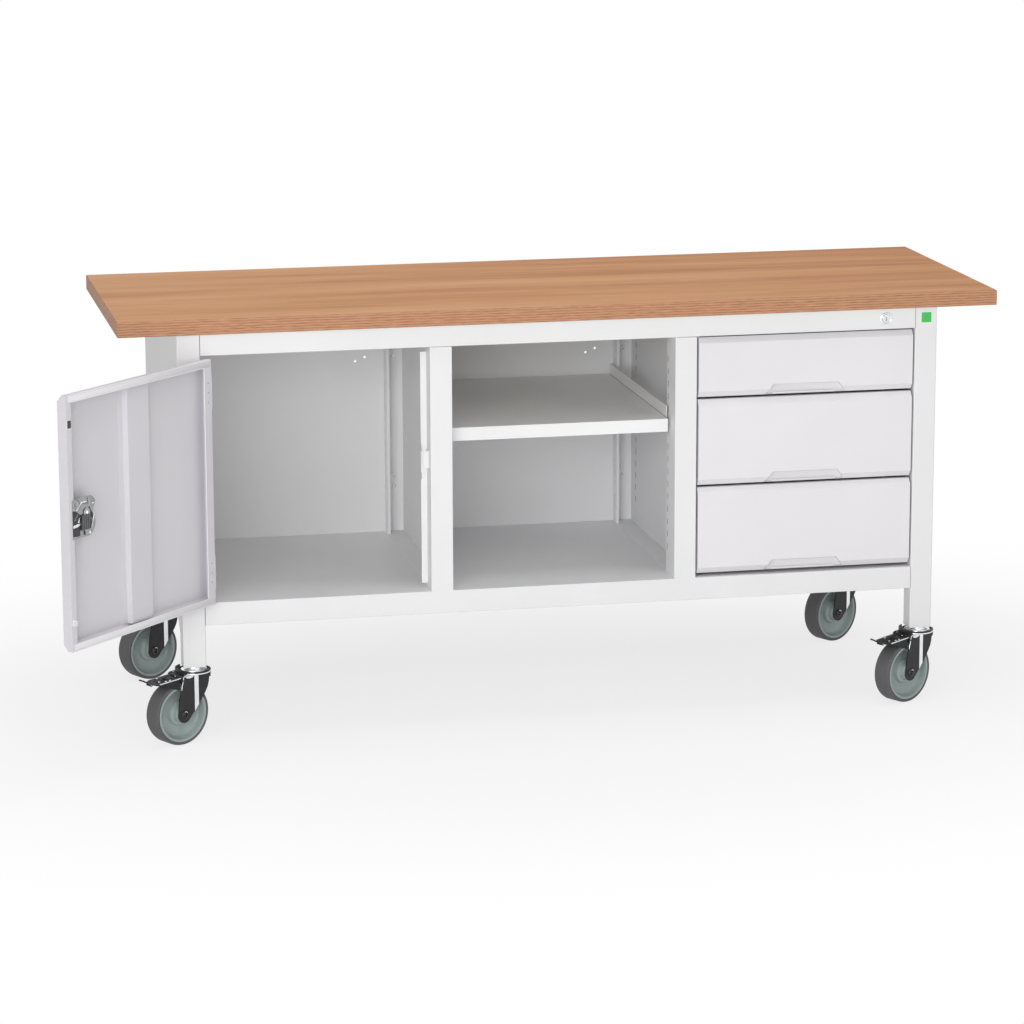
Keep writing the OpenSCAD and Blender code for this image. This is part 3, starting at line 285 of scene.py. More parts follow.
@dataclass(frozen=True)
class TyreRubber(Grained):
    """Grey thermoplastic rubber moulded on the rim: matt, with faint dust and scuffs."""

    shade_last: bool = True
    cloud: tuple[Point3, float, float] = ((16, 16, 16), 4, 0.65)
    stops: Point2 = (0.35, 0.75)
    # Scuffs are a few tenths wide; drawn at 1.6 mm so that they dull the gloss unevenly
    grain: tuple[Point3, float, float] = ((1.6, 1.6, 1.6), 3, 0.6)
    gloss: Point2 | None = (-0.1, 0.1)
    grain_depth_mm: float = 0.06
    grain_strength: float = 0.6


@dataclass(frozen=True)
class BeechPlywood(Finish):
    """Oiled beech plywood: rotary-cut face veneer on top, stacked plies on the edges."""

    # Real plies are 1.5 mm; drawn at 2.5 mm so that they show
    ply_mm: float = 2.5
    # How far the plies wander up and down along an edge
    ply_wander_mm: float = 1.6
    # How much darker and redder the face turns towards the right and the back, per metre along X, Y
    # and Z
    drift: Point3 = (-0.065, -0.08, 0.0)
    # How steeply a surface has to look up or down to be a face and not an edge
    face_limit: float = 0.75
    fleck_tone: str = "8a5a3c"
    # The underside is made pale and bare, paler than the beech, as painted light for the
    # compartments under it
    underside: str = "ebe4da"

    def face(self, tree: bpy.types.NodeTree, spot: bpy.types.NodeSocket,
             fibre: bpy.types.NodeSocket) -> bpy.types.NodeSocket:
        """Makes the face: soft streaks a few fingers wide that run the bench's length, and flecks.

        Args:
            tree: The material's tree.
            spot: Object-space coordinates in metres.
            fibre: The pattern of the fine fibres.
        Returns:
            The colour.
        """
        broad = self.noise(tree, spot, (1100, 90, 100), 2, 0.5)
        streak = self.noise(tree, spot, (300, 8, 40), 5, 0.66)
        mixed = -0.03
        for pattern, weight in ((broad, 0.45), (streak, 0.46), (fibre, 0.22)):
            mixed = add_node(tree, "ShaderNodeMath", {"operation": "MULTIPLY_ADD"},
                             {0: pattern, 1: weight, 2: mixed}).outputs[0]
        drift = add_node(tree, "ShaderNodeVectorMath", {"operation": "DOT_PRODUCT"},
                         {0: spot, 1: self.drift})
        mixed = add_node(tree, "ShaderNodeMath", {"operation": "ADD"},
                         {0: mixed, 1: drift.outputs["Value"]})
        face = self.tones(tree, mixed.outputs[0], [
            (0.34, "aa6c3e"), (0.46, "c68655"), (0.56, "d69a67"), (0.70, "e6b081")])
        # Beech pores and ray flecks are 2 to 4 mm long; drawn at 9 mm so that they show
        fleck = add_node(tree, "ShaderNodeMapRange", inputs={
            "Value": self.noise(tree, spot, (9, 1.3, 6), 1), "From Min": 0.66, "From Max": 0.74,
            "To Min": 0.0, "To Max": 0.22})
        return add_node(tree, "ShaderNodeMix", {"data_type": "RGBA"}, {
            "Factor": fleck.outputs[0], "A": face, "B": linear(self.fleck_tone)}).outputs["Result"]

    def edge(self, tree: bpy.types.NodeTree, spot: bpy.types.NodeSocket) -> bpy.types.NodeSocket:
        """Makes the edge: long-grain plies are pale, cross-grain plies show red-brown dashes.

        Args:
            tree: The material's tree.
            spot: Object-space coordinates in metres.
        Returns:
            The colour.
        """
        parts = add_node(tree, "ShaderNodeSeparateXYZ", inputs={0: spot}).outputs
        run = add_node(tree, "ShaderNodeMath", {"operation": "ADD"}, {0: parts[0], 1: parts[1]})
        flat = add_node(tree, "ShaderNodeCombineXYZ", inputs={
            0: run.outputs[0], 2: parts[2]}).outputs[0]
        height = add_node(tree, "ShaderNodeMath", {"operation": "MULTIPLY_ADD"}, {
            0: self.noise(tree, flat, (160, 100, 30), 2), 1: self.ply_wander_mm * MM, 2: parts[2]})
        # One wave is two plies, a long-grain one and a cross-grain one
        wave = add_node(tree, "ShaderNodeMath", {"operation": "MULTIPLY"},
                        {0: height.outputs[0], 1: 2 * math.pi / (2 * self.ply_mm * MM)})
        wave = add_node(tree, "ShaderNodeMath", {"operation": "SINE"}, {0: wave.outputs[0]})
        ply = add_node(tree, "ShaderNodeMapRange", inputs={
            "Value": wave.outputs[0], "From Min": -0.5, "From Max": 0.5})
        # End-grain dashes, each about as high as a real ply
        dash = add_node(tree, "ShaderNodeMapRange", inputs={
            "Value": self.noise(tree, flat, (30, 16, 1.4), 5, 0.7),
            "From Min": 0.36, "From Max": 0.68})
        mixed = 0.06
        for pattern, weight in ((ply, 0.26), (dash, 0.64)):
            mixed = add_node(tree, "ShaderNodeMath", {"operation": "MULTIPLY_ADD"},
                             {0: pattern.outputs[0], 1: weight, 2: mixed}).outputs[0]
        return self.tones(tree, mixed, [
            (0.10, "d2a382"), (0.40, "c69371"), (0.66, "b07c5e"), (0.95, "8c5b45")])

    def build(self) -> bpy.types.Material:
        """Makes the edges, the face on what looks up, and the underside on what looks down."""
        material, shader, where = self.start()
        tree, spot = material.node_tree, where.outputs["Object"]
        # Beech fibres are hair-fine; drawn 2.4 mm wide and 70 mm long so that they show
        fibre = self.noise(tree, spot, (70, 2.4, 20), 3, 0.65)
        way = add_node(tree, "ShaderNodeSeparateXYZ", inputs={0: where.outputs["Normal"]})
        tilt = add_node(tree, "ShaderNodeMath", {"operation": "ABSOLUTE"}, {0: way.outputs[2]})
        wood = self.edge(tree, spot)
        for test, value, limit, over in (
                ("GREATER_THAN", tilt.outputs[0], self.face_limit, self.face(tree, spot, fibre)),
                ("LESS_THAN", way.outputs[2], -self.face_limit, linear(self.underside))):
            share = add_node(tree, "ShaderNodeMath", {"operation": test}, {0: value, 1: limit})
            wood = add_node(tree, "ShaderNodeMix", {"data_type": "RGBA"}, {
                "Factor": share.outputs[0], "A": wood, "B": over}).outputs["Result"]
        tree.links.new(wood, shader.inputs["Base Color"])
        gloss = add_node(tree, "ShaderNodeMapRange", inputs={
            "Value": fibre, "To Min": self.roughness - 0.06, "To Max": self.roughness + 0.08})
        tree.links.new(gloss.outputs[0], shader.inputs["Roughness"])
        tree.links.new(self.relief(tree, fibre, 0.05, 0.5), shader.inputs["Normal"])
        return material


class Look(Enum):
    """Every finish on the bench: its slot, colour, roughness and what else sets it apart."""

    WORKTOP = BeechPlywood("worktop_plywood", "d89a68", 0.52, ior=1.48, specular=0.16, edge_mm=0.8)
    FRAME = PowderCoat("frame_coat", "f1f1f2", 0.42, ior=1.52, edge_mm=0.7, shade="ededee")
    # Door coat: the fronts' paint made darker, as painted shade on the open door
    DOOR_SHADED = PowderCoat("front_coat", "e1dee3", 0.42, ior=1.52, edge_mm=0.8, shade="dcd9de")
    FRONTS = PowderCoat("front_coat", "eeecef", 0.42, ior=1.52, edge_mm=0.8, shade="eae8eb")
    # White coat of the strike strip and the shelf, also used for painted highlights on the door's
    # lips
    WHITE = PowderCoat("white_coat", "fafafa", 0.4, ior=1.52, shade="f2f2f2")
    BOXES = PowderCoat("drawer_box_coat", "c9cacd", 0.45, ior=1.52, shade="c3c4c8")
    # Runner panel coat: the frame paint made dark, as painted shade in the gaps round the drawers
    RUNNER_SHADE = PowderCoat("frame_coat", "54565a", 0.5, edge_mm=0.3, shade="4e5054")
    # Seam coat: dark grey frame paint for the joints, also painted shade in the slots over the
    # drawer space
    SEAM = PowderCoat("frame_coat", "8c8c8e", 0.6, edge_mm=0.2, shade="858587")
    ZINC = PlatedSteel("zinc_steel", "d0d3d6", 0.3, metallic=1.0, edge_mm=0.3)
    LATCH = PlatedSteel("zinc_steel", "b2b4b5", 0.36, metallic=1.0, edge_mm=0.3, shade="9fa1a3")
    # Bright plated steel, also used for painted highlights and glints on edges, folds and bends
    BRIGHT_PLATE_AND_HIGHLIGHT = PlatedSteel("zinc_steel", "f4f5f7", 0.22, metallic=1.0, edge_mm=0.3, shade="e2e5e8")
    CHROME = PlatedSteel("lock_chrome", "e9eaec", 0.16, metallic=1.0, edge_mm=0.3, shade="d4d6d9")
    HANDLE = MouldedPlastic("handle_plastic", "2a2a2c", 0.45, edge_mm=0.6, shade="242426")
    BUFFER = MouldedPlastic("buffer_plastic", "f4f4f4", 0.5, shade="eeeeee")
    BADGE = MouldedPlastic("badge_plastic", "4cc65f", 0.3, edge_mm=0.4, shade="46be59",
                           grain_depth_mm=0.005)
    BADGE_RIM = MouldedPlastic("badge_plastic", "f6f8f6", 0.35, edge_mm=0.4, shade="f1f4f1",
                               grain_depth_mm=0.005)
    FORK = BlackCoat("fork_coat", "262627", 0.4, specular=0.35, shade="303032")
    BOLT = BlackCoat("fork_coat", "1b1b1c", 0.2, specular=0.6, shade="28282a")
    PEDAL = BlackCoat("pedal_coat", "1f1f20", 0.46, specular=0.3, edge_mm=0.4, shade="303133")
    RIM = MouldedPlastic("rim_plastic", "a4b1ae", 0.27, ior=1.55, edge_mm=0.6, shade="9ba8a5")
    TYRE = TyreRubber("tyre_rubber", "626263", 0.62, specular=0.3, edge_mm=0.6, shade="646466")
    SHADOW = BlackCoat("zinc_steel", "37393b", 0.4, specular=0.4, edge_mm=0.3, shade="4c4e51")
    GROOVED = BlackCoat("zinc_steel", "5f6264", 0.42, specular=0.4, edge_mm=0.3, shade="6e7173")

    @property
    def material(self) -> bpy.types.Material:
        """The finish's material, made once."""
        if self not in MADE:
            MADE[self] = self.value.build()
        return MADE[self]


MADE: dict[Look, bpy.types.Material] = {}


# ---------- mesh making, in millimetres ----------

def lathe(profile: list[Point2], turns: int = 96, closed: bool = True) -> bpy.types.Mesh:
    """Turns a profile about local Z.

    Args:
        profile: Radius and height of each point, from the axis outwards and round.
        turns: How many steps make the full turn.
        closed: Whether the last point joins the first.
    Returns:
        The turned mesh.
    """
    shape = bmesh.new()
    rings = []
    for radius, height in profile:
        if radius < 1e-6:
            rings.append([shape.verts.new((0, 0, height))] * turns)
        else:
            rings.append([shape.verts.new((radius * math.cos(2 * math.pi * k / turns),
                                           radius * math.sin(2 * math.pi * k / turns), height))
                          for k in range(turns)])
    pairs = list(zip(rings, rings[1:] + rings[:1])) if closed else list(zip(rings, rings[1:]))
    for low, high in pairs:
        for k in range(turns):
            corners = [low[k], low[(k + 1) % turns], high[(k + 1) % turns], high[k]]
            corners = list(dict.fromkeys(corners))
            if len(corners) > 2:
                shape.faces.new(corners)
    bmesh.ops.recalc_face_normals(shape, faces=shape.faces)
    mesh = bpy.data.meshes.new("turned")
    shape.to_mesh(mesh)
    shape.free()
    return mesh


def plate(outline: list[Point2], thickness: float, bevel: float = 0.3,
          holes: tuple[list[Point2], ...] = (), rounds: int = 2) -> bpy.types.Mesh:
    """Cuts a flat plate with holes and rounded edges, from local Z 0 up to its thickness.

    Args:
        outline: Corners of the outer edge.
        thickness: Its thickness.
        bevel: Rounding of its edges.
        holes: Corners of each hole.
        rounds: Steps in the rounding.
    Returns:
        The plate's mesh.
    """
    curve = bpy.data.curves.new("cut", "CURVE")
    curve.dimensions = "2D"
    curve.fill_mode = "BOTH"
    curve.extrude = thickness / 2 - bevel
    curve.bevel_depth = bevel
    curve.bevel_resolution = rounds
    curve.offset = -bevel
    for loop in (outline, *holes):
        line = curve.splines.new("POLY")
        line.points.add(len(loop) - 1)
        for point, (x, y) in zip(line.points, loop):
            point.co = (x, y, 0, 1)
        line.use_cyclic_u = True
    return baked(curve, Matrix.Translation((0, 0, thickness / 2)))


def tube(points: list[Point3], radius: float, smooth: bool = True) -> bpy.types.Mesh:
    """Bends a round bar along points.

    Args:
        points: Its centreline.
        radius: Its radius.
        smooth: Whether the line is smoothed between the points.
    Returns:
        The bar's mesh.
    """
    curve = bpy.data.curves.new("bar", "CURVE")
    curve.dimensions = "3D"
    curve.bevel_depth = radius
    curve.bevel_resolution = 4
    curve.use_fill_caps = True
    line = curve.splines.new("BEZIER" if smooth else "POLY")
    if smooth:
        line.bezier_points.add(len(points) - 1)
        for point, place in zip(line.bezier_points, points):
            point.co = place
            point.handle_left_type = point.handle_right_type = "AUTO"
    else:
        line.points.add(len(points) - 1)
        for point, place in zip(line.points, points):
            point.co = (*place, 1)
    return baked(curve, Matrix.Identity(4))


def baked(curve: bpy.types.Curve, place: Matrix) -> bpy.types.Mesh:
    """Turns a curve into a mesh and moves it.

    Args:
        curve: The curve, which is removed.
        place: Where its mesh goes.
    Returns:
        The mesh.
    """
    holder = bpy.data.objects.new("cut", curve)
    bpy.context.scene.collection.objects.link(holder)
    bpy.context.view_layer.update()
    seen = holder.evaluated_get(bpy.context.evaluated_depsgraph_get())
    mesh = bpy.data.meshes.new_from_object(seen)
    bpy.data.objects.remove(holder)
    bpy.data.curves.remove(curve)
    mesh.transform(place)
    return mesh


def brick(size: Point3, bevel: float = 0.6) -> bpy.types.Mesh:
    """Makes a rounded block, centred.

    Args:
        size: Its length along X, Y and Z.
        bevel: Rounding of its edges.
    Returns:
        The block's mesh.
    """
    shape = bmesh.new()
    bmesh.ops.create_cube(shape, size=1.0)
    for vertex in shape.verts:
        vertex.co = Vector((vertex.co.x * size[0], vertex.co.y * size[1], vertex.co.z * size[2]))
    bmesh.ops.bevel(shape, geom=list(shape.edges), offset=bevel, segments=3, affect="EDGES",
                    profile=0.5)
    mesh = bpy.data.meshes.new("block")
    shape.to_mesh(mesh)
    shape.free()
    return mesh


def ring(radius: float, count: int = 24, centre: Point2 = (0, 0), start: float = 0.0,
         sweep: float = 360.0) -> list[Point2]:
    """Places points on a circle or an arc.

    Args:
        radius: Its radius.
        count: How many points it has.
        centre: Its centre.
        start: Where it starts, in degrees.
        sweep: How far it goes round, in degrees.
    Returns:
        The points.
    """
    steps = count if abs(sweep) >= 360 else count - 1
    turns = [math.radians(start + sweep * k / steps) for k in range(count)]
    return [(centre[0] + radius * math.cos(a), centre[1] + radius * math.sin(a)) for a in turns]


def slotted(centre: Point2, length: float, width: float, turn: float = 0.0) -> list[Point2]:
    """Outlines a slot with round ends.

    Args:
        centre: Its middle.
        length: Its full length.
        width: Its width.
        turn: Its direction, in degrees.
    Returns:
        The outline.
    """
    half = (length - width) / 2
    points = [(x + half, y) for x, y in ring(width / 2, 7, start=-90, sweep=180)]
    points += [(x - half, y) for x, y in ring(width / 2, 7, start=90, sweep=180)]
    c, s = math.cos(math.radians(turn)), math.sin(math.radians(turn))
    return [(centre[0] + x * c - y * s, centre[1] + x * s + y * c) for x, y in points]


def moved(shift: Point3, turn: float, axis: str = "X") -> Matrix:
    """Places something by a turn about its own axis and then a shift.

    Args:
        shift: How far it goes along X, Y and Z.
        turn: How far it turns, in degrees.
        axis: What it turns about.
    Returns:
        The place.
    """
    return Matrix.Translation(shift) @ Matrix.Rotation(math.radians(turn), 4, axis)


def box_mm(name: str) -> tuple[Vector, Vector]:
    """Finds the box of a node.

    Args:
        name: The node.
    Returns:
        Its lowest and highest corner, in millimetres.
    """
    low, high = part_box(name)
    return Vector(low) / MM, Vector(high) / MM


@dataclass
class Piece:
    """One visible piece while it is built: meshes in local millimetres, each with its own look."""

    name: str
    place: Matrix
    looks: list[Look] = field(default_factory=list)
    shape: bmesh.types.BMesh = field(default_factory=bmesh.new)

    def add(self, mesh: bpy.types.Mesh, look: Look, at: Matrix | Point3 = (0, 0, 0)) -> None:
        """Adds a mesh to the piece.

        Args:
            mesh: The mesh, which is used up.
            look: Its finish.
            at: Its shift or its whole place, in the piece's own millimetres.
        """
        if look not in self.looks:
            self.looks.append(look)
        place = at if isinstance(at, Matrix) else Matrix.Translation(at)
        mesh.transform(place)
        if place.determinant() < 0:
            mesh.flip_normals()
        first = len(self.shape.faces)
        self.shape.from_mesh(mesh)
        self.shape.faces.ensure_lookup_table()
        for face in self.shape.faces[first:]:
            face.material_index = self.looks.index(look)
        bpy.data.meshes.remove(mesh)

    def finish(self, body: str, replaces: tuple[str, ...] = (), sharp: float = 35.0) -> None:
        """Puts the piece in the scene, on its body.

        Args:
            body: The CAD body that it rides on.
            replaces: CAD nodes that it stands for.
            sharp: Angle above which an edge stays sharp, in degrees.
        """
        mesh = bpy.data.meshes.new(self.name)
        self.shape.to_mesh(mesh)
        self.shape.free()
        mesh.transform(self.place @ Matrix.Scale(MM, 4))
        for look in self.looks:
            mesh.materials.append(look.material)
        mesh.shade_smooth()
        mesh.set_sharp_from_angle(angle=math.radians(sharp))
        piece = bpy.data.objects.new(self.name, mesh)
        bpy.context.scene.collection.objects.link(piece)
        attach(piece, body)
        if replaces:
            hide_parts(*replaces)
        LOG.info("%s: %d faces on %s", self.name, len(mesh.polygons), body)


def coat(look: Look, *nodes: str) -> None:
    """Gives CAD nodes their finish.

    Args:
        look: The finish.
        nodes: The nodes' names.
    """
    for name in nodes:
        node = frame["nodes"][name]
        for slot in range(max(1, len(node.material_slots))):
            if slot < len(node.material_slots):
                node.material_slots[slot].material = look.material
            else:
                node.data.materials.append(look.material)
        LOG.info("%s: %s", name, look.name)


def joint(name: str) -> dict:
    """Finds a joint of the record by its name."""
    return next(j for j in frame["joints"] if j["name"] == name)


# ---------- sub-assemblies ----------

@dataclass
class Worktop:
    """The plywood top, which keeps its CAD shape."""

    def build(self) -> None:
        """Dresses the top and its screws."""
        coat(Look.WORKTOP, "worktop")
        coat(Look.ZINC, "worktop_screws")


@dataclass
class SteelFrame:
    """Legs, rails, panels and partitions: one powder-coated weldment with its screws."""

    coated: tuple[str, ...] = (
        "leg_front_left", "leg_front_right", "leg_rear_left", "leg_rear_right",
        "side_panel_left", "side_panel_right", "head_rail_front", "head_rail_rear",
        "base_rail_front", "base_rail_rear", "floor_panels", "back_panels",
        "partition_left", "partition_right", "shelf_brackets", "bracket_hooks")
    sheet: float = 1.2
    seam: float = 0.42
    drawer_gap: float = 0.85
    shelf_gap: float = 0.7
    slot_count: int = 16
    slot_pitch: float = 25.4
    slot_low: float = 54.2
    slot_front: float = 57.0
    slot_rear: float = 44.8
    slot_size: Point2 = (4.9, 11.9)
    shelf_slot: int = 10

    def build(self) -> None:
        """Dresses the coated sheet, the brackets and the screws."""
        coat(Look.FRAME, *self.coated)
        coat(Look.WHITE, "strike_strip", "shelf")
        coat(Look.CHROME, "panel_screws")
        # The runner panel is painted dark: painted shade in the gaps round the drawers
        coat(Look.RUNNER_SHADE, "runner_panel")
        self.seams()
        self.slot_shades()

    def seams(self) -> None:
        """Draws the narrow joints of the front as thin round lines laid in them."""
        piece = Piece("frame_seams", Matrix.Identity(4))
        # Hairlines where the front rails butt against the legs
        for rail in ("head_rail_front", "base_rail_front"):
            low, high = box_mm(rail)
            for x in (low.x, high.x):
                line = [(x, low.y - 0.05, low.z + 0.6), (x, low.y - 0.05, high.z - 0.6)]
                piece.add(tube(line, self.seam, False), Look.SEAM)
        # Shadow gap between the head rail and the uppermost drawer
        low, high = box_mm("drawer_front_top")
        rail, _ = box_mm("head_rail_front")
        line = [(x, rail.y + 0.6, rail.z - self.drawer_gap) for x in (low.x, high.x)]
        piece.add(tube(line, self.drawer_gap, False), Look.SHADOW)
        # Narrow gap between the shelf and the bracket at each end of it
        low, high = box_mm("shelf")
        for x in (low.x - 0.3, high.x + 0.3):
            line = [(x, low.y + 0.5, high.z - 0.1), (x, high.y - 10, high.z - 0.1)]
            piece.add(tube(line, self.shelf_gap, False), Look.SEAM)
        piece.finish("bench")

    def slot_shades(self) -> None:
        """Darkens the slots that open on the unlit drawer space.

        The slots that hold the shelf's hooks stay as they are.
        """
        piece = Piece("slot_shades", Matrix.Identity(4))
        low, high = box_mm("partition_right")
        columns = ((low.x + 0.25, low.y + self.slot_front),
                   (high.x - self.sheet + 0.25, high.y - self.slot_rear))
        wide, tall = self.slot_size
        for row in range(self.slot_count):
            if row == self.shelf_slot:
                continue
            level = low.z + self.slot_low + row * self.slot_pitch
            for x, y in columns:
                # Each dark plate is painted shade in its slot
                piece.add(brick((0.3, wide, tall), 0.05), Look.SEAM, (x + 0.15, y, level))
        piece.finish("bench")


@dataclass
class DrawerBank:
    """Three drawers with pressed fronts on telescopic slides."""

    levels: tuple[str, ...] = ("top", "middle", "bottom")

    def build(self) -> None:
        """Dresses the fronts, the boxes and the slides."""
        coat(Look.FRONTS, *(f"drawer_front_{level}" for level in self.levels))
        coat(Look.BOXES, *(f"drawer_box_{level}" for level in self.levels))
        coat(Look.ZINC, "slides_fixed", *(f"slides_middle_{level}" for level in self.levels))


@dataclass
class CupboardDoor:
    """The hinged door: pressed skin and stiffener, hinges, latch and handle.

    The latch's levels are heights above its hidden box's foot, out of the door's back.
    """

    case_height: float = 75.0
    case_drop: float = 8.0
    spindle_in: float = 39.0
    spindle_up: float = 45.5
    cam_level: float = 23.3
    plate_level: float = 19.9
    seat_level: float = 21.0
    recess_level: float = 21.1
    face_level: float = 21.2
    bolt_level: float = 21.4
    hinge_lip: float = 22.0
    hat_half: float = 32.0
    hat_depth: float = 13.0
    hat_flange: float = 13.0
    sheet: float = 1.2
    front_lip: float = 14.0

    def swung(self) -> Matrix:
        """Finds where the open door has gone from where it is drawn closed.

        Returns:
            The turn about the hinge, in metres.
        """
        hinge = joint("door_hinge")
        pin = Matrix.Translation(Vector(hinge["pos_m"]))
        turn = Matrix.Rotation(-math.radians(hinge["range_deg"][1]), 4, "Z")
        return pin @ turn @ pin.inverted()

    def latch_frame(self) -> Matrix:
        """Finds the latch plate's lower corner, where the plate laps over the free lip.

        Returns:
            Axes away from the free edge, up, and out of the door's back.
        """
        spindle = self.swung().inverted() @ Vector(joint("latch_turn")["pos_m"])
        low, _ = self.closed_box("latch_case")
        corner = Vector((spindle.x + self.spindle_in * MM, low.y,
                         spindle.z - (self.case_drop + self.case_height / 2) * MM))
        axes = Matrix(((-1, 0, 0, 0), (0, 0, 1, 0), (0, 1, 0, 0), (0, 0, 0, 1)))
        return self.swung() @ Matrix.Translation(corner) @ axes

    def closed_box(self, name: str) -> tuple[Vector, Vector]:
        """Finds a door node's box with the door drawn closed.

        Args:
            name: The node.
        Returns:
            Its lowest and highest corner.
        """
        back = self.swung().inverted()
        points = [back @ v.co for v in frame["nodes"][name].data.vertices]
        low = Vector(min(p[i] for p in points) for i in range(3))
        high = Vector(max(p[i] for p in points) for i in range(3))
        return low, high

    def stiffener(self) -> None:
        """Presses the hat-section stiffener that runs the height of the door behind the skin."""
        low, high = (corner / MM for corner in self.closed_box("door_stiffener"))
        skin, crown = low.y + 0.05, low.y + self.hat_depth
        half, foot, edge = self.hat_half, self.hat_half + 1.0, self.hat_half + self.hat_flange
        sheet = self.sheet
        outline = [(-edge, skin), (-foot + sheet, skin), (-half + sheet, crown - sheet),
                   (half - sheet, crown - sheet), (foot - sheet, skin), (edge, skin),
                   (edge, skin + sheet), (foot, skin + sheet), (half, crown), (-half, crown),
                   (-foot, skin + sheet), (-edge, skin + sheet)]
        hat = Piece("stiffener_hat", self.swung())
        # The hat takes the door's darker coat, painted shade like the skin's
        hat.add(plate(outline, high.z - low.z, 0.35), Look.DOOR_SHADED, ((low.x + high.x) / 2, 0, low.z))
        hat.finish("door", ("door_stiffener",))

    def lip_light_and_shade(self) -> None:
        """Paints highlights on the lips' inner edges and outer folds, light flange strips and a
        shaded knock-out.
        """
        low, high = (corner / MM for corner in self.closed_box("door_panel"))
        x0, x1 = low.x + self.hinge_lip, high.x - self.front_lip
        z0, z1 = low.z + self.front_lip, high.z - self.front_lip
        piece = Piece("door_lip_edges", self.swung())
        # Painted highlights along the lips' inner edges
        for start, end in (((x0, z0), (x1, z0)), ((x1, z1), (x0, z1)), ((x0, z1), (x0, z0))):
            line = [(x, high.y - 0.2, z) for x, z in (start, end)]
            piece.add(tube(line, 0.8, False), Look.WHITE)
        # Painted highlights along the top and bottom outer folds; their flanges in the front coat,
        # painted light
        for z, inward in ((low.z + 0.9, 1), (high.z - 0.9, -1)):
            line = [(low.x + 4, high.y - 0.9, z), (high.x - 4, high.y - 0.9, z)]
            piece.add(tube(line, 1.2, False), Look.WHITE)
            strip = brick((high.x - low.x - 10, 0.3, self.front_lip - 2.6), 0.1)
            middle = ((low.x + high.x) / 2, high.y + 0.05, z + inward * self.front_lip / 2)
            piece.add(strip, Look.FRONTS, middle)
        # Spare knock-out in the free edge, as far below the top as the buffer is above the bottom
        knob_low, knob_high = (corner / MM for corner in self.closed_box("door_buffer"))
        knob = (knob_low + knob_high) / 2
        hole = (knob.x, high.y + 0.1, low.z + high.z - knob.z)
        # A white rim round a dark plate: painted shade in the hole
        piece.add(brick((13.0, 0.3, 17.0), 0.14), Look.WHITE, hole)
        piece.add(brick((10.5, 0.8, 14.5), 0.3), Look.SHADOW, hole)
        piece.finish("door")

    def latch_plate(self, case: Piece) -> None:
        """Adds the lobed plate over its hidden box, with the recess and the follower's boss.

        Args:
            case: The latch.
        """
        base = [(1.4, 0), (46, -0.5), (52, 0.5), (58, 4), (63, 9.5), (66.4, 16), (67.6, 23),
                (66, 31), (62.5, 38), (60.6, 43), (61, 49), (64, 54), (66.5, 60), (66, 66),
                (61.5, 71), (55, 74.5), (47, 75), (10, 74.5), (1.4, 73)]
        inner = [(8, 1.5), (50, 1.5), (60, 12), (64, 24), (58, 40), (58, 62), (54, 66), (8, 66)]
        eye = (62.6, 60.5)
        holes = (ring(4.6, 14, eye, 40, 280) + ring(2.3, 10, eye, -40, -280),
                 ring(1.7, 12, (14, 4.5)))
        case.add(plate(inner, 19.2, 0.6), Look.SHADOW, (0, 0, 0.3))
        case.add(plate(base, 1.5, 0.4, holes), Look.LATCH, (0, 0, self.plate_level))
        # Dark recess beside the bolt, with the folded wall round it
        recess = [(46, 13), (54, 12.5), (57.5, 20), (60.5, 30), (62.0, 38), (56, 44.5),
                  (50.5, 54), (47.5, 53)]
        case.add(plate(recess, 0.6, 0.2), Look.SHADOW, (0, 0, self.recess_level))
        wall = [(61.8, 40.5, 21.8), (61.2, 33, 22.0), (58.2, 24, 22.0), (54.6, 17.2, 22.0)]
        case.add(tube(wall, 0.6), Look.BRIGHT_PLATE_AND_HIGHLIGHT)
        case.add(tube([(52.8, 33, 21.9), (55.0, 29, 22.1), (56.2, 25, 21.9)], 0.6), Look.LATCH)
        # Round boss of the follower, in the upper corner on the free side
        boss = [(0, 0), (8.8, 0), (8.8, 0.9), (8.0, 1.6), (6.8, 1.9), (6.0, 1.4), (0, 1.2)]
        case.add(lathe(boss, 48, False), Look.LATCH, (10.9, 64.0, self.face_level))
        groove = [(8.7, 0), (9.9, 0), (9.9, 0.6), (8.7, 0.6)]
        case.add(lathe(groove, 48), Look.SHADOW, (11.6, 63.6, self.recess_level))

    def latch_cover(self, case: Piece) -> None:
        """Adds the domed cover with its rolled upper edge, the rib beside it and the rivet.

        Args:
            case: The latch.
        """
        cover = [(10.5, 52), (15, 55), (19.5, 60), (26, 65), (34, 67), (43, 66), (45.5, 60),
                 (46.5, 52), (45, 43), (23.5, 43), (18, 46)]
        case.add(plate(cover, 1.3, 0.6, rounds=4), Look.LATCH, (0, 0, self.face_level))
        # Bright tube along the rolled upper edge and bright block on the tab: painted highlights;
        # the dark bar under the tab is painted shade
        roll = [(3.0, 57.3, 21.8), (8.4, 53.4, 22.0), (15, 55.4, 22.2), (19.5, 60.2, 22.3),
                (26, 65, 22.3), (33, 66.6, 22.3), (41, 65.8, 22.0)]
        case.add(tube(roll, 0.85), Look.BRIGHT_PLATE_AND_HIGHLIGHT)
        case.add(brick((9.0, 2.6, 1.4), 0.6), Look.BRIGHT_PLATE_AND_HIGHLIGHT, (37.0, 65.2, 22.45))
        case.add(brick((12.0, 1.6, 0.8), 0.3), Look.SHADOW, (37.0, 62.6, 22.3))
        rib = [(45.5, 56), (52.0, 54), (53.0, 71.5), (46.0, 72.5)]
        case.add(plate(rib, 3.6, 1.4, rounds=4), Look.LATCH, (0, 0, self.seat_level))
        rivet = [(0, 2.6), (1.4, 2.4), (2.6, 1.6), (3.1, 0.5), (3.1, 0)]
        case.add(lathe(rivet, 32, False), Look.BRIGHT_PLATE_AND_HIGHLIGHT, (50.0, 5.4, self.face_level))

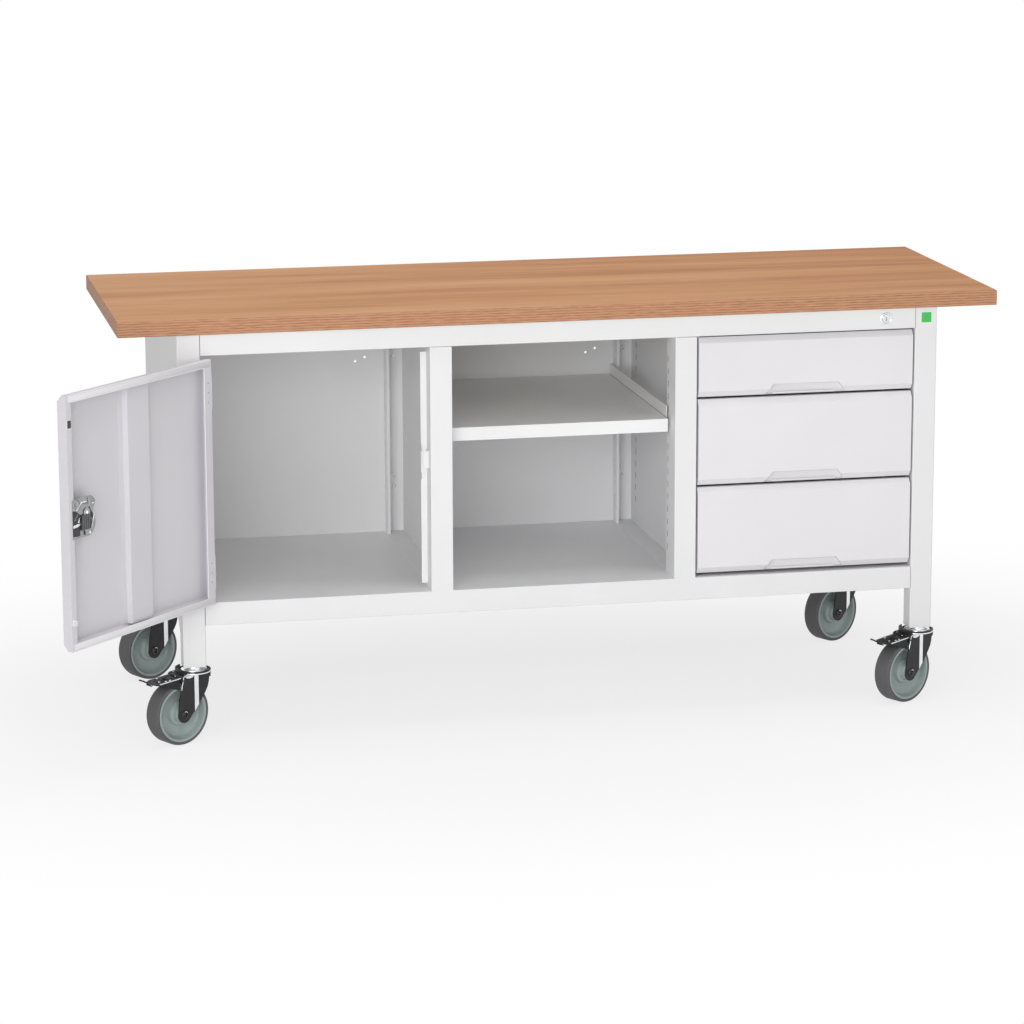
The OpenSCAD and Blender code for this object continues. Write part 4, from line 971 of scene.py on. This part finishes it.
    def latch_bolt(self, case: Piece) -> None:
        """Adds the dark pocket with the bolt, its lever and its pin, the lobe's disc and the eye.

        Args:
            case: The latch.
        """
        pocket = [(1.4, 5), (21, 3.5), (22.5, 30), (20, 44), (11, 52.5), (1.4, 53)]
        case.add(plate(pocket, 0.8, 0.3), Look.SHADOW, (0, 0, self.seat_level))
        bolt = [(1.8, 21.0), (15.4, 22.0), (22, 24.5), (22, 29), (15, 27.3), (1.8, 26.5)]
        lever = [(14.0, 29.4), (21.0, 29.4), (21.0, 38), (17.6, 36.4)]
        lower = [(3, 6), (13.5, 6), (16, 18), (9, 20), (3, 18)]
        upper = [(2.5, 31), (12.5, 31), (17, 43), (9, 50), (2.5, 46)]
        for outline, thick, bevel, look in ((bolt, 1.8, 0.7, Look.BRIGHT_PLATE_AND_HIGHLIGHT),
                                            (lever, 1.7, 0.6, Look.BRIGHT_PLATE_AND_HIGHLIGHT),
                                            (lower, 1.6, 0.6, Look.SHADOW),
                                            (upper, 1.5, 0.6, Look.SHADOW)):
            case.add(plate(outline, thick, bevel), look, (0, 0, self.bolt_level))
        case.add(tube([(4, 35, 22.6), (10, 40, 22.6), (14.5, 46.5, 22.4)], 0.5), Look.ZINC)
        # Lower lobe, pressed up as a shallow disc, and the eye of the hook hole
        disc = [(0, 1.6), (3.6, 1.4), (5.0, 0.9), (5.5, 0)]
        case.add(lathe(disc, 40, False), Look.LATCH, (59.5, 15.0, self.face_level))
        eye = [(0, 1.0), (1.2, 0.9), (1.7, 0)]
        case.add(lathe(eye, 24, False), Look.BRIGHT_PLATE_AND_HIGHLIGHT, (62.0, 58.4, self.face_level))

    def latch(self) -> None:
        """Builds the latch: a lobed plate, a domed cover and the bolt in its pocket."""
        case = Piece("latch_mechanism", self.latch_frame())
        self.latch_plate(case)
        self.latch_cover(case)
        self.latch_bolt(case)
        case.finish("door", ("latch_case",))

    def cam(self) -> None:
        """Builds the cam on its spindle: a zinc arm, a dark grooved pad and a riveted end."""
        cam = Piece("latch_arm", self.latch_frame())
        x, y, z = self.spindle_in, self.spindle_up, self.cam_level
        arm = ring(8.8, 16, (x, y), -20, 220)
        arm += [(26.5, 38), (23.0, 30), (22.0, 14), (33.5, 12.0), (34.5, 2.6), (43.5, 2.6),
                (44.5, 12.5), (46.5, 16), (47.2, 38)]
        cam.add(plate(arm, 1.8, 0.4), Look.LATCH, (0, 0, z))
        pad = [(21.4, 14.0), (45.0, 14.0), (45.8, 30), (45.4, 42), (23.5, 42), (21.6, 34)]
        cam.add(plate(pad, 0.9, 0.3), Look.SHADOW, (0, 0, z + 1.7))
        for k in range(4):
            cam.add(brick((3.4, 27.0, 1.2), 0.5), Look.GROOVED, (25.6 + 5.9 * k, 28.8, z + 2.6))
        low, high = self.closed_box("latch_cam")
        stem = (high.y - low.y) / MM - 3.0
        spindle = [(0, 0), (5.0, 0), (5.0, -stem), (4.2, -stem - 0.4), (0, -stem - 0.4)]
        cam.add(lathe(spindle, 40, False), Look.ZINC, (x, y, z))
        rivet = [(0, 2.4), (1.6, 2.2), (3.0, 1.5), (3.6, 0.4), (3.6, 0)]
        cam.add(lathe(rivet, 32, False), Look.BRIGHT_PLATE_AND_HIGHLIGHT, (x, y, z + 1.8))
        cam.finish("latch", ("latch_cam",))

    def handle(self) -> None:
        """Builds the outside handle: a waisted neck, a soft-edged grip and its rose."""
        low, high = self.closed_box("door_handle")
        spindle = self.swung().inverted() @ Vector(joint("latch_turn")["pos_m"])
        out = Matrix(((1, 0, 0, 0), (0, 0, -1, 0), (0, 1, 0, 0), (0, 0, 0, 1)))
        place = self.swung() @ Matrix.Translation((spindle.x, high.y, spindle.z)) @ out
        grip = Piece("door_grip", place)
        depth = (high.y - low.y) / MM
        half = (high.z - low.z) / 2 / MM
        neck = [(0, 0), (8.0, 0), (7.2, 3), (6.8, 7), (7.4, 11), (8.6, depth - 10), (0, depth - 10)]
        grip.add(lathe(neck, 48, False), Look.HANDLE)
        outline = ring(6.0, 14, (0, half - 6.0), 0, 180) + ring(6.6, 14, (0, -half + 6.6), 180, 180)
        grip.add(plate(outline, 12.0, 3.2, rounds=6), Look.HANDLE, (0, 0, depth - 12.0))
        grip.finish("latch", ("door_handle",))
        rose_low, rose_high = self.closed_box("handle_rose")
        place = self.swung() @ Matrix.Translation((spindle.x, rose_high.y, spindle.z)) @ out
        rose = Piece("handle_rose_disc", place)
        thick = (rose_high.y - rose_low.y) / MM
        radius = (rose_high.x - rose_low.x) / 2 / MM
        disc = [(5.1, 0), (radius, 0), (radius, thick * 0.5), (radius - 1.4, thick), (9.5, thick),
                (8.8, thick - 0.6), (5.1, thick - 0.6)]
        rose.add(lathe(disc), Look.HANDLE)
        rose.finish("door", ("handle_rose",))

    def build(self) -> None:
        """Dresses the pressed parts and builds the stiffener, the latch and the handle."""
        # The skin and its hinge leaves take the darker door coat: painted shade
        coat(Look.DOOR_SHADED, "door_panel", "hinge_leaves_door")
        self.stiffener()
        coat(Look.ZINC, "hinge_leaves_frame", "hinge_pins")
        coat(Look.BUFFER, "door_buffer")
        self.lip_light_and_shade()
        self.latch()
        self.cam()
        self.handle()


@dataclass
class RailLock:
    """The central lock in the head rail: a bright flange round a turning barrel."""

    bore: float = 8.35
    body: float = 9.9
    flange: float = 12.5
    depth: float = 20.0

    def build(self) -> None:
        """Builds the flange with the front of the lock's body, and dresses the barrel."""
        pos = Vector(joint("lock_turn")["pos_m"])
        low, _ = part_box("lock_housing")
        collar = Piece("lock_collar", moved((pos.x, low.y, pos.z), 90))
        profile = [(self.bore, -self.depth), (self.body, -self.depth), (self.body, -2.5),
                   (12.4, -2.5), (self.flange, -1.9), (12.2, -0.9), (11.2, -0.2), (10.2, 0),
                   (9.4, -0.3), (8.9, -0.9), (self.bore, -1.2)]
        collar.add(lathe(profile), Look.CHROME)
        collar.finish("bench", ("lock_housing",))
        coat(Look.CHROME, "lock_barrel")


@dataclass
class Badge:
    """A plain coloured square with a pale rim on the right front leg."""

    rim: float = 1.6

    def build(self) -> None:
        """Builds the pale tile and the coloured inlay on it."""
        low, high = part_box("badge")
        middle = (low + high) / 2
        half = (high.x - low.x) / 2 / MM
        tile = Piece("badge_tile", moved((middle.x, high.y, middle.z), 90))
        tile.add(plate(self.square(half, 2.0), 0.7, 0.2), Look.BADGE_RIM)
        inlay = self.square(half - self.rim, 1.2)
        tile.add(plate(inlay, 0.45, 0.15), Look.BADGE, (0, 0, 0.5))
        tile.finish("bench", ("badge",))

    def square(self, half: float, corner: float) -> list[Point2]:
        """Outlines a square with round corners.

        Args:
            half: Half its side.
            corner: Its corners' radius.
        Returns:
            The outline.
        """
        points = []
        for k, (sx, sy) in enumerate(((1, 1), (-1, 1), (-1, -1), (1, -1))):
            points += ring(corner, 6, (sx * (half - corner), sy * (half - corner)), 90 * k, 90)
        return points


@dataclass
class Castor:
    """One swivel castor, built trailing along its own X, with its wheel's axle along its own Y."""

    corner: str
    braked: bool
    trail: float = 42.0
    wheel: float = 62.5
    arm_out: float = 24.0
    sheet: float = 2.5
    facet: Point2 = (17.0, 6.2)
    facet_step: float = 1.1
    crown_radius: float = 32.6
    pedal_root: float = 38.6
    pedal_top: float = 136.7
    pedal_fall: float = 4.4

    def place(self) -> Matrix:
        """Finds the castor's own axes: along the trail, along the axle, and up from the floor."""
        swivel = Vector(joint(f"castor_{self.corner}_swivel")["pos_m"])
        roll = joint(f"wheel_{self.corner}_roll")
        along = Vector(roll["pos_m"]) - swivel
        along.z = 0
        along.normalize()
        across = Vector(roll["axis"]).normalized()
        made = Matrix((along, across, Vector((0, 0, 1)))).transposed().to_4x4()
        return Matrix.Translation((swivel.x, swivel.y, 0)) @ made

    def axle(self) -> Matrix:
        """Finds the axle in the castor's own millimetres, with turning pieces' Z along it."""
        return moved((self.trail, 0, self.wheel), -90)

    def wheel_pieces(self) -> None:
        """Builds the dished rim and the tyre round it."""
        half = [(56, 17.6), (55.9, 18.5), (55.2, 19.0), (52.6, 19.0), (51.6, 18.5), (51.0, 17.0),
                (50.4, 13.0), (49.0, 7.6), (46.6, 4.2), (44.0, 2.8), (42.6, 2.7), (41.6, 2.3),
                (40.6, 1.7), (36, 1.5), (28, 1.5), (25.4, 1.7), (24.8, 3.0), (24.4, 7.6),
                (23.4, 9.4), (22.0, 9.9), (19.4, 10.2), (17.8, 11.0), (17.2, 13), (17.0, 19.0),
                (16.2, 20.1), (15.0, 20.4), (6.05, 20.4)]
        other = [(r, -h) for r, h in reversed(half)]
        rim = Piece(f"wheel_rim_{self.corner}", self.place())
        rim.add(lathe(half + other, 128), Look.RIM, self.axle())
        # Plug of the hub's grease hole, a small moulded cup on each side
        for side in (-1, 1):
            cup = lathe([(0, 0.3), (1.3, 0.3), (1.5, 0.8), (2.0, 0.9), (2.2, 0)], 20, False)
            spot = Matrix.Translation((-2.0, -20.8, side * 9.9)) @ Matrix.Scale(side, 4, (0, 0, 1))
            rim.add(cup, Look.GROOVED, self.axle() @ spot)
        rim.finish(f"wheel_{self.corner}", (f"rim_{self.corner}",))
        tread = [(56.02, 17.8), (57.6, 18.9), (59.4, 19.0), (60.8, 18.6), (61.6, 17.6),
                 (61.9, 16.4), (62.2, 15.9), (62.4, 15.0), (62.45, 8), (62.5, 0)]
        mirrored = [(r, -h) for r, h in reversed(tread[:-1])]
        tyre = Piece(f"tyre_band_{self.corner}", self.place())
        tyre.add(lathe(tread + mirrored, 160), Look.TYRE, self.axle())
        tyre.finish(f"wheel_{self.corner}", (f"tyre_{self.corner}",), sharp=50)

    def level(self, s: float) -> float:
        """Finds an arm's outer face, which steps in over the bent facet.

        Args:
            s: A place along the trail.
        Returns:
            How far from the castor's middle plane the face is there.
        """
        high, low = self.facet
        share = min(1.0, max(0.0, (high - s) / (high - low)))
        return self.arm_out - self.facet_step * share

    def arm(self, piece: Piece, side: int) -> None:
        """Adds one arm: a pressed plate in three strips, the middle one bent and given a painted
        highlight.

        Args:
            piece: The fork.
            side: 1 for the arm on the axle's positive side, -1 for the other.
        """
        high, low = self.facet
        foot = ring(14.8, 18, (41.5, 60.4), 0, -140)
        front = [(42.6, 138), (44.6, 128), (47.2, 118), (50.0, 106), (52.8, 92), (55.2, 76)]
        front += foot + [(26.6, 55.4), (22.6, 60.2), (high, 65.2), (high, 138)]
        middle = [(high, 138), (high, 65.2), (low, 77.6), (low, 138)]
        rear = [(low, 138), (low, 77.6), (-7.0, 94.5), (-11.4, 101.5), (-16.2, 110),
                (-18.9, 119.8), (-20.2, 130), (-21.2, 136), (-21.4, 138)]
        # The middle strip's bright coat is a painted highlight on the bend
        strips = ((front, Look.FORK), (middle, Look.BRIGHT_PLATE_AND_HIGHLIGHT), (rear, Look.FORK))
        for outline, look in strips:
            shape = bmesh.new()
            outer, inner = (
                [shape.verts.new((s, side * (self.level(s) - back), z)) for s, z in outline]
                for back in (0, self.sheet))
            shape.faces.new(outer)
            shape.faces.new(list(reversed(inner)))
            for k in range(len(outline)):
                following = (k + 1) % len(outline)
                shape.faces.new((outer[k], inner[k], inner[following], outer[following]))
            bmesh.ops.recalc_face_normals(shape, faces=shape.faces)
            mesh = bpy.data.meshes.new("arm")
            shape.to_mesh(mesh)
            shape.free()
            piece.add(mesh, look)

    def crown_outline(self) -> list[Point2]:
        """Outlines the crown: round at the head, flat beside the wheel, square over the tyre."""
        high, low = self.facet
        flat = self.arm_out - 1.5
        wide = self.arm_out - 0.4
        reach = math.degrees(math.asin(flat / self.crown_radius))
        back = ring(self.crown_radius, 26, (0, 0), 180 - reach, 2 * reach)
        return back + [(low, -flat), (high, -wide), (46.5, -wide), (46.5, wide), (high, wide),
                       (low, flat)]

    def fork_side(self, piece: Piece, side: int) -> None:
        """Adds one side of the fork: the arm, the axle bolt's head and painted highlights.

        Args:
            piece: The fork.
            side: 1 for the axle's positive side, -1 for the other.
        """
        self.arm(piece, side)
        bolt = [(0, 0.3), (3.4, 0.3), (4.0, 1.2), (4.8, 3.0), (5.8, 3.5), (7.2, 3.0), (8.0, 1.8),
                (8.2, 0), (8.2, -0.6)]
        place = moved((self.trail, side * self.arm_out, self.wheel), -90 * side)
        piece.add(lathe(bolt, 40, False), Look.BOLT, place)
        # Painted highlights on the bolt's shoulder and where the crown bends down into the arm
        scuff = [(x, y, 3.3) for x, y in ring(6.2, 8, (0, 0), -75 * side, -62 * side)]
        piece.add(tube(scuff, 0.75), Look.BRIGHT_PLATE_AND_HIGHLIGHT, place)
        shoulder = [(18.5, 138.3), (24, 138.8), (33, 138.4), (38.8, 136.6), (35.5, 134.2),
                    (29, 132.8), (23, 133.8), (18.5, 136.0)]
        place = moved((0, side * (self.arm_out + 0.1) + 0.3, 0), 90)
        piece.add(plate(shoulder, 0.6, 0.2), Look.BRIGHT_PLATE_AND_HIGHLIGHT, place)

    def fork(self) -> None:
        """Builds the fork: crown, arms, axle, the races under the head and, if braked, the ears."""
        piece = Piece(f"castor_yoke_{self.corner}", self.place())
        piece.add(plate(self.crown_outline(), 10.8, 1.8, rounds=4), Look.FORK, (0, 0, 127.8))
        for side in (-1, 1):
            self.fork_side(piece, side)
        axle = [(0, -21.4), (5.9, -21.4), (5.9, 21.4), (0, 21.4)]
        piece.add(lathe(axle, 32, False), Look.ZINC, self.axle())
        # Bright lower race and the black dust seal above it
        race = [(24, 138.2), (32.2, 138.2), (32.6, 139.2), (32.3, 140.5), (31.2, 140.9),
                (24, 140.9)]
        seal = [(29.2, 141.2), (32.6, 141.1), (33.2, 142.2), (32.8, 143.6), (31.0, 144.3),
                (29.2, 143.8)]
        piece.add(lathe(race, 96), Look.BRIGHT_PLATE_AND_HIGHLIGHT)
        piece.add(lathe(seal, 96), Look.FORK)
        # Painted highlight on the crown's shoulder beside the arm's bend, on one side only
        worn = [(17.5, 17.5), (26.0, 9.0), (34.0, 12.0), (37.0, 19.0), (36.0, 23.2), (20.0, 23.4)]
        piece.add(plate(worn, 1.2, 0.4), Look.BRIGHT_PLATE_AND_HIGHLIGHT, (0, 0, 138.3))
        if self.braked:
            self.brake_housing(piece)
        piece.finish(f"castor_{self.corner}", (f"castor_fork_{self.corner}",))

    def brake_housing(self, piece: Piece) -> None:
        """Adds the curved guard of the swivel brake and the pedal's ears.

        Args:
            piece: The fork.
        """
        guard = ring(37.2, 26, (0, 0), 27, -103) + ring(34.6, 26, (0, 0), -76, 103)
        piece.add(plate(guard, 8.8, 0.8, rounds=3), Look.FORK, (0, 0, 138.2))
        ear = [(34.5, 131), (44.5, 131), (44.2, 138.4), (42.6, 140.0), (37.8, 140.2), (35.2, 138.6)]
        for side in (-1, 1):
            piece.add(plate(ear, 2.2, 0.6), Look.FORK, moved((0, side * 23.0 + 1.1, 0), 90))
            # Thin painted highlight along the edge of the arm's sheet beside the pedal
            for line in ([(42.8, 136.4), (43.2, 134.8), (43.0, 131.6)],
                         [(44.4, 129.2), (44.8, 125.6), (46.8, 120.4), (48.0, 112.0)]):
                edge_glint = tube([(s, side * 24.0, z) for s, z in line], 0.8, False)
                piece.add(edge_glint, Look.BRIGHT_PLATE_AND_HIGHLIGHT)
            # Painted highlight along the ear's upper edge, from the crown's shoulder to the tread
            top = [(26.5, side * 23.6, 139.6), (34, side * 23.8, 140.0), (43.4, side * 23.6, 137.4)]
            piece.add(tube(top, 0.9), Look.BRIGHT_PLATE_AND_HIGHLIGHT)

    def pedal(self, side_name: str) -> None:
        """Builds the foot pedal: pressed tread with slots, deep skirts, rolled tip and release tab.

        Args:
            side_name: Which pedal it is, left or right.
        """
        root = moved((self.pedal_root * MM, 0, self.pedal_top * MM), self.pedal_fall, "Y")
        piece = Piece(f"brake_tread_{side_name}", self.place() @ root)
        outline = [(0, -17), (3, -20.9), (54, -20.9), (60, -18), (66, -12), (69.6, -3), (70.4, 4),
                   (69.6, 9), (60.4, 20.9), (3, 20.9), (0, 17)]
        holes = (slotted((10, 0), 18, 7, 90), slotted((21, -9), 12, 4.5),
                 slotted((22, 9), 9, 4.5), slotted((34, 0), 16, 5, 90),
                 slotted((45, -11), 8, 3.5), slotted((46, 11), 8, 3.5))
        piece.add(plate(outline, 1.8, 0.4, holes), Look.PEDAL, (0, 0, -1.8))
        # Dark plate under the tread, painted shade in the hollow that the slots look into
        section = [(12, -17), (52, -17), (60, -11), (60, 11), (52, 17), (12, 17)]
        piece.add(plate(section, 1.0, 0.3), Look.SHADOW, (0, 0, -5.4))
        # Raised ribs that grip the shoe, and bright studs between them as painted glints
        for k in range(3):
            piece.add(brick((2.2, 22 - 3 * k, 1.4), 0.5), Look.PEDAL, (28.0 + 13.0 * k, 0, 0.2))
        for x, y in ((6.5, 1.5), (30, 14.5), (40, -15), (40, 14.5), (50, 6)):
            stud = lathe([(0, 1.2), (1.2, 1.0), (2.0, 0.5), (2.2, 0)], 20, False)
            piece.add(stud, Look.BRIGHT_PLATE_AND_HIGHLIGHT, (x, y, 0))
        skirt = [(12.2, -0.6), (60.0, -0.6), (57.5, -3.4), (38, -13.0), (17, -22.2), (12.2, -23.6)]
        for side in (-1, 1):
            piece.add(plate(skirt, 1.5, 0.4), Look.PEDAL, moved((0, side * 20.2 + 0.75, 0), 90))
            # Bright tube along the skirt's fold: painted highlight
            fold = [(4, side * 20.7, -0.6), (30, side * 20.7, -0.5), (59.5, side * 20.6, -0.6)]
            piece.add(tube(fold, 1.1, False), Look.BRIGHT_PLATE_AND_HIGHLIGHT)
        # Tip rolled down, with a painted highlight on it
        lip = [(0, -11), (4.5, -8), (4.5, 8), (0, 10)]
        piece.add(plate(lip, 1.6, 0.5), Look.PEDAL, moved((67.6, 0.5, -1.0), 48, "Y"))
        piece.add(brick((2.0, 6.0, 1.5), 0.6), Look.BRIGHT_PLATE_AND_HIGHLIGHT, moved((69.4, 6.5, -1.6), 48, "Y"))
        # Release tab for the toe
        tab = [(58, -12, -1.2), (66, -13, -0.6), (74, -13, 4.0), (83, -13, 8.6)]
        piece.add(tube(tab, 1.6), Look.PEDAL)
        # Bright block on the tab: painted highlight
        piece.add(brick((2.6, 3.0, 1.2), 0.5), Look.BRIGHT_PLATE_AND_HIGHLIGHT, (75.5, -12.6, 6.0))
        piece.finish(f"pedal_{side_name}", (f"brake_pedal_{side_name}",))

    def build(self) -> None:
        """Builds the wheel, the fork and, where there is one, the pedal."""
        self.wheel_pieces()
        self.fork()
        if self.braked:
            self.pedal(self.corner.split("_")[1])
        LOG.info("castor %s built", self.corner)


@dataclass
class CastorHeads:
    """The fixed swivel heads under the legs: bright plated cups with their necks and bolts."""

    def build(self) -> None:
        """Builds all four heads as one piece, in place of their CAD node."""
        heads = Piece("castor_heads", Matrix.Identity(4))
        cup = [(6, 141.4), (25.4, 141.4), (26.0, 142.4), (25.6, 143.8), (24.0, 144.8),
               (21.6, 145.6), (20.2, 147.0), (19.4, 150.0), (6, 150.0)]
        pin = [(0, 121.4), (8.2, 121.4), (9.0, 122.2), (9.0, 126.4), (8.2, 127.1), (5.9, 127.1),
               (5.9, 178.0), (4.6, 180.0), (0, 180.0)]
        for corner in CORNERS:
            spot = joint(f"castor_{corner}_swivel")["pos_m"]
            centre = (spot[0] / MM, spot[1] / MM, 0)
            heads.add(lathe(cup, 96), Look.BRIGHT_PLATE_AND_HIGHLIGHT, centre)
            heads.add(lathe(pin, 40, False), Look.ZINC, centre)
        heads.finish("bench", ("castor_mounts",))


# ---------- studio ----------

@dataclass
class Studio:
    """Plain pale floor, broad soft light from the front and a camera at standing height."""

    position: Point3 = (-1.59487, -7.42265, 2.04650)
    right: Point3 = (0.97883697, -0.20461847, -0.00307858)
    up: Point3 = (0.04717346, 0.21097485, 0.97635254)
    forward: Point3 = (0.19913026, 0.95583518, -0.21616255)
    lens: float = 133.76
    room_front: float = 0.71
    room_back: float = 0.12
    # Directions between which the room's light falls off: -1 is straight in front, 1 behind
    room_turn: Point2 = (-0.9, 0.2)
    paper: float = 0.86
    # Share of white under the bench, and the distances over which the floor turns fully white
    near_share: float = 0.75
    sweep: Point2 = (0.35, 1.5)

    def camera(self) -> None:
        """Sets the camera."""
        data = bpy.data.cameras.new("camera")
        data.lens = self.lens
        data.sensor_width = 36
        data.clip_end = 60
        eye = bpy.data.objects.new("camera", data)
        bpy.context.scene.collection.objects.link(eye)
        back = -Vector(self.forward)
        turn = Matrix((Vector(self.right), Vector(self.up), back)).transposed().to_4x4()
        eye.matrix_world = Matrix.Translation(self.position) @ turn
        bpy.context.scene.camera = eye

    def seen(self, tree: bpy.types.NodeTree, *kinds: str) -> bpy.types.NodeSocket:
        """Tells rays that see a thing, straight or otherwise, from rays that light things.

        Args:
            tree: The node tree.
            kinds: Kinds of ray that see, besides the camera's own.
        Returns:
            1 for a ray that sees and 0 for any other.
        """
        path = add_node(tree, "ShaderNodeLightPath")
        seen = path.outputs["Is Camera Ray"]
        for kind in kinds:
            seen = add_node(tree, "ShaderNodeMath", {"operation": "MAXIMUM"},
                            {0: seen, 1: path.outputs[f"Is {kind} Ray"]}).outputs[0]
        return seen

    def floor(self) -> None:
        """Lays the floor: pale, with a soft shadow, and nearly white to the camera."""
        bpy.ops.mesh.primitive_plane_add(size=60, location=(0, 0, 0))
        ground = bpy.context.object
        ground.name = "studio_floor"
        material = bpy.data.materials.new("studio_floor")
        material.use_nodes = True
        tree = material.node_tree
        tree.nodes.clear()
        paper = add_node(tree, "ShaderNodeBsdfDiffuse", inputs={"Color": (*(self.paper,) * 3, 1)})
        glow = add_node(tree, "ShaderNodeEmission", inputs={
            "Color": (1, 1, 1, 1), "Strength": 1.0})
        # The paper sweep brightens with distance from the bench, along the floor's own axes
        where = add_node(tree, "ShaderNodeTexCoord")
        reach = add_node(tree, "ShaderNodeMapping", inputs={
            "Vector": where.outputs["Object"], "Scale": (0.72, 1.0, 1.0)})
        reach = add_node(tree, "ShaderNodeVectorMath", {"operation": "LENGTH"},
                         {0: reach.outputs[0]})
        white = add_node(tree, "ShaderNodeMapRange", {"interpolation_type": "SMOOTHSTEP"}, {
            "Value": reach.outputs["Value"], "From Min": self.sweep[0],
            "From Max": self.sweep[1], "To Min": self.near_share, "To Max": 1.0})
        share = add_node(tree, "ShaderNodeMath", {"operation": "MULTIPLY"},
                         {0: self.seen(tree, "Glossy"), 1: white.outputs[0]})
        mixed = add_node(tree, "ShaderNodeMixShader", inputs={
            "Fac": share.outputs[0], 1: paper.outputs[0], 2: glow.outputs[0]})
        add_node(tree, "ShaderNodeOutputMaterial", inputs={"Surface": mixed.outputs[0]})
        ground.data.materials.append(material)

    def world(self) -> None:
        """Fills the room with soft light, most of it from the front; what sees it, sees white."""
        world = bpy.data.worlds.new("studio")
        bpy.context.scene.world = world
        world.use_nodes = True
        tree = world.node_tree
        tree.nodes.clear()
        where = add_node(tree, "ShaderNodeTexCoord")
        where = add_node(tree, "ShaderNodeSeparateXYZ", inputs={0: where.outputs["Generated"]})
        room = add_node(tree, "ShaderNodeMapRange", {"interpolation_type": "SMOOTHSTEP"}, {
            "Value": where.outputs["Y"], "From Min": self.room_turn[0],
            "From Max": self.room_turn[1], "To Min": self.room_front, "To Max": self.room_back})
        strength = add_node(tree, "ShaderNodeMapRange", inputs={
            "Value": self.seen(tree, "Glossy", "Transmission"), "To Min": room.outputs[0],
            "To Max": 1.0})
        shine = add_node(tree, "ShaderNodeBackground", inputs={
            "Color": (1, 1, 1, 1), "Strength": strength.outputs[0]})
        add_node(tree, "ShaderNodeOutputWorld", inputs={"Surface": shine.outputs[0]})

    def lamp(self, name: str, place: Point3, aim: Point3, size: Point2, power: float) -> None:
        """Hangs one soft lamp.

        Args:
            name: Its name.
            place: Where it hangs, in metres.
            aim: What it points at.
            size: Its width and height.
            power: Its power, in watts.
        """
        data = bpy.data.lights.new(name, "AREA")
        data.shape = "RECTANGLE"
        data.size, data.size_y = size
        data.energy = power
        lamp = bpy.data.objects.new(name, data)
        bpy.context.scene.collection.objects.link(lamp)
        lamp.location = place
        lamp.rotation_mode = "QUATERNION"
        lamp.rotation_quaternion = (Vector(aim) - Vector(place)).to_track_quat("-Z", "Y")
        lamp.visible_camera = False

    def build(self) -> None:
        """Sets the camera, the floor, the room and the lamps."""
        view = bpy.context.scene.view_settings
        view.view_transform = "Standard"
        self.camera()
        self.floor()
        self.world()
        self.lamp("front_softbox", (-2.9, -6.5, 1.7), (0, 0, 0.5), (4.4, 2.6), 165)
        self.lamp("top_softbox", (0.0, -0.4, 4.0), (0, 0, 0.8), (3.0, 2.0), 47)
        # White board lying before the bench, which throws light up under the worktop
        self.lamp("floor_board", (0.0, -2.1, 0.02), (0.0, -2.1, 1.0), (4.6, 2.2), 15)


def main() -> None:
    """Builds the studio and every sub-assembly, in order."""
    logging.basicConfig(level=logging.INFO, format="%(name)s: %(message)s", stream=sys.stdout)
    parts = [Studio(), Worktop(), SteelFrame(), DrawerBank(), CupboardDoor(), RailLock(), Badge(),
             CastorHeads()]
    parts += [Castor(corner, corner.startswith("front")) for corner in CORNERS]
    for part in parts:
        part.build()


if __name__ == "__main__":
    main()
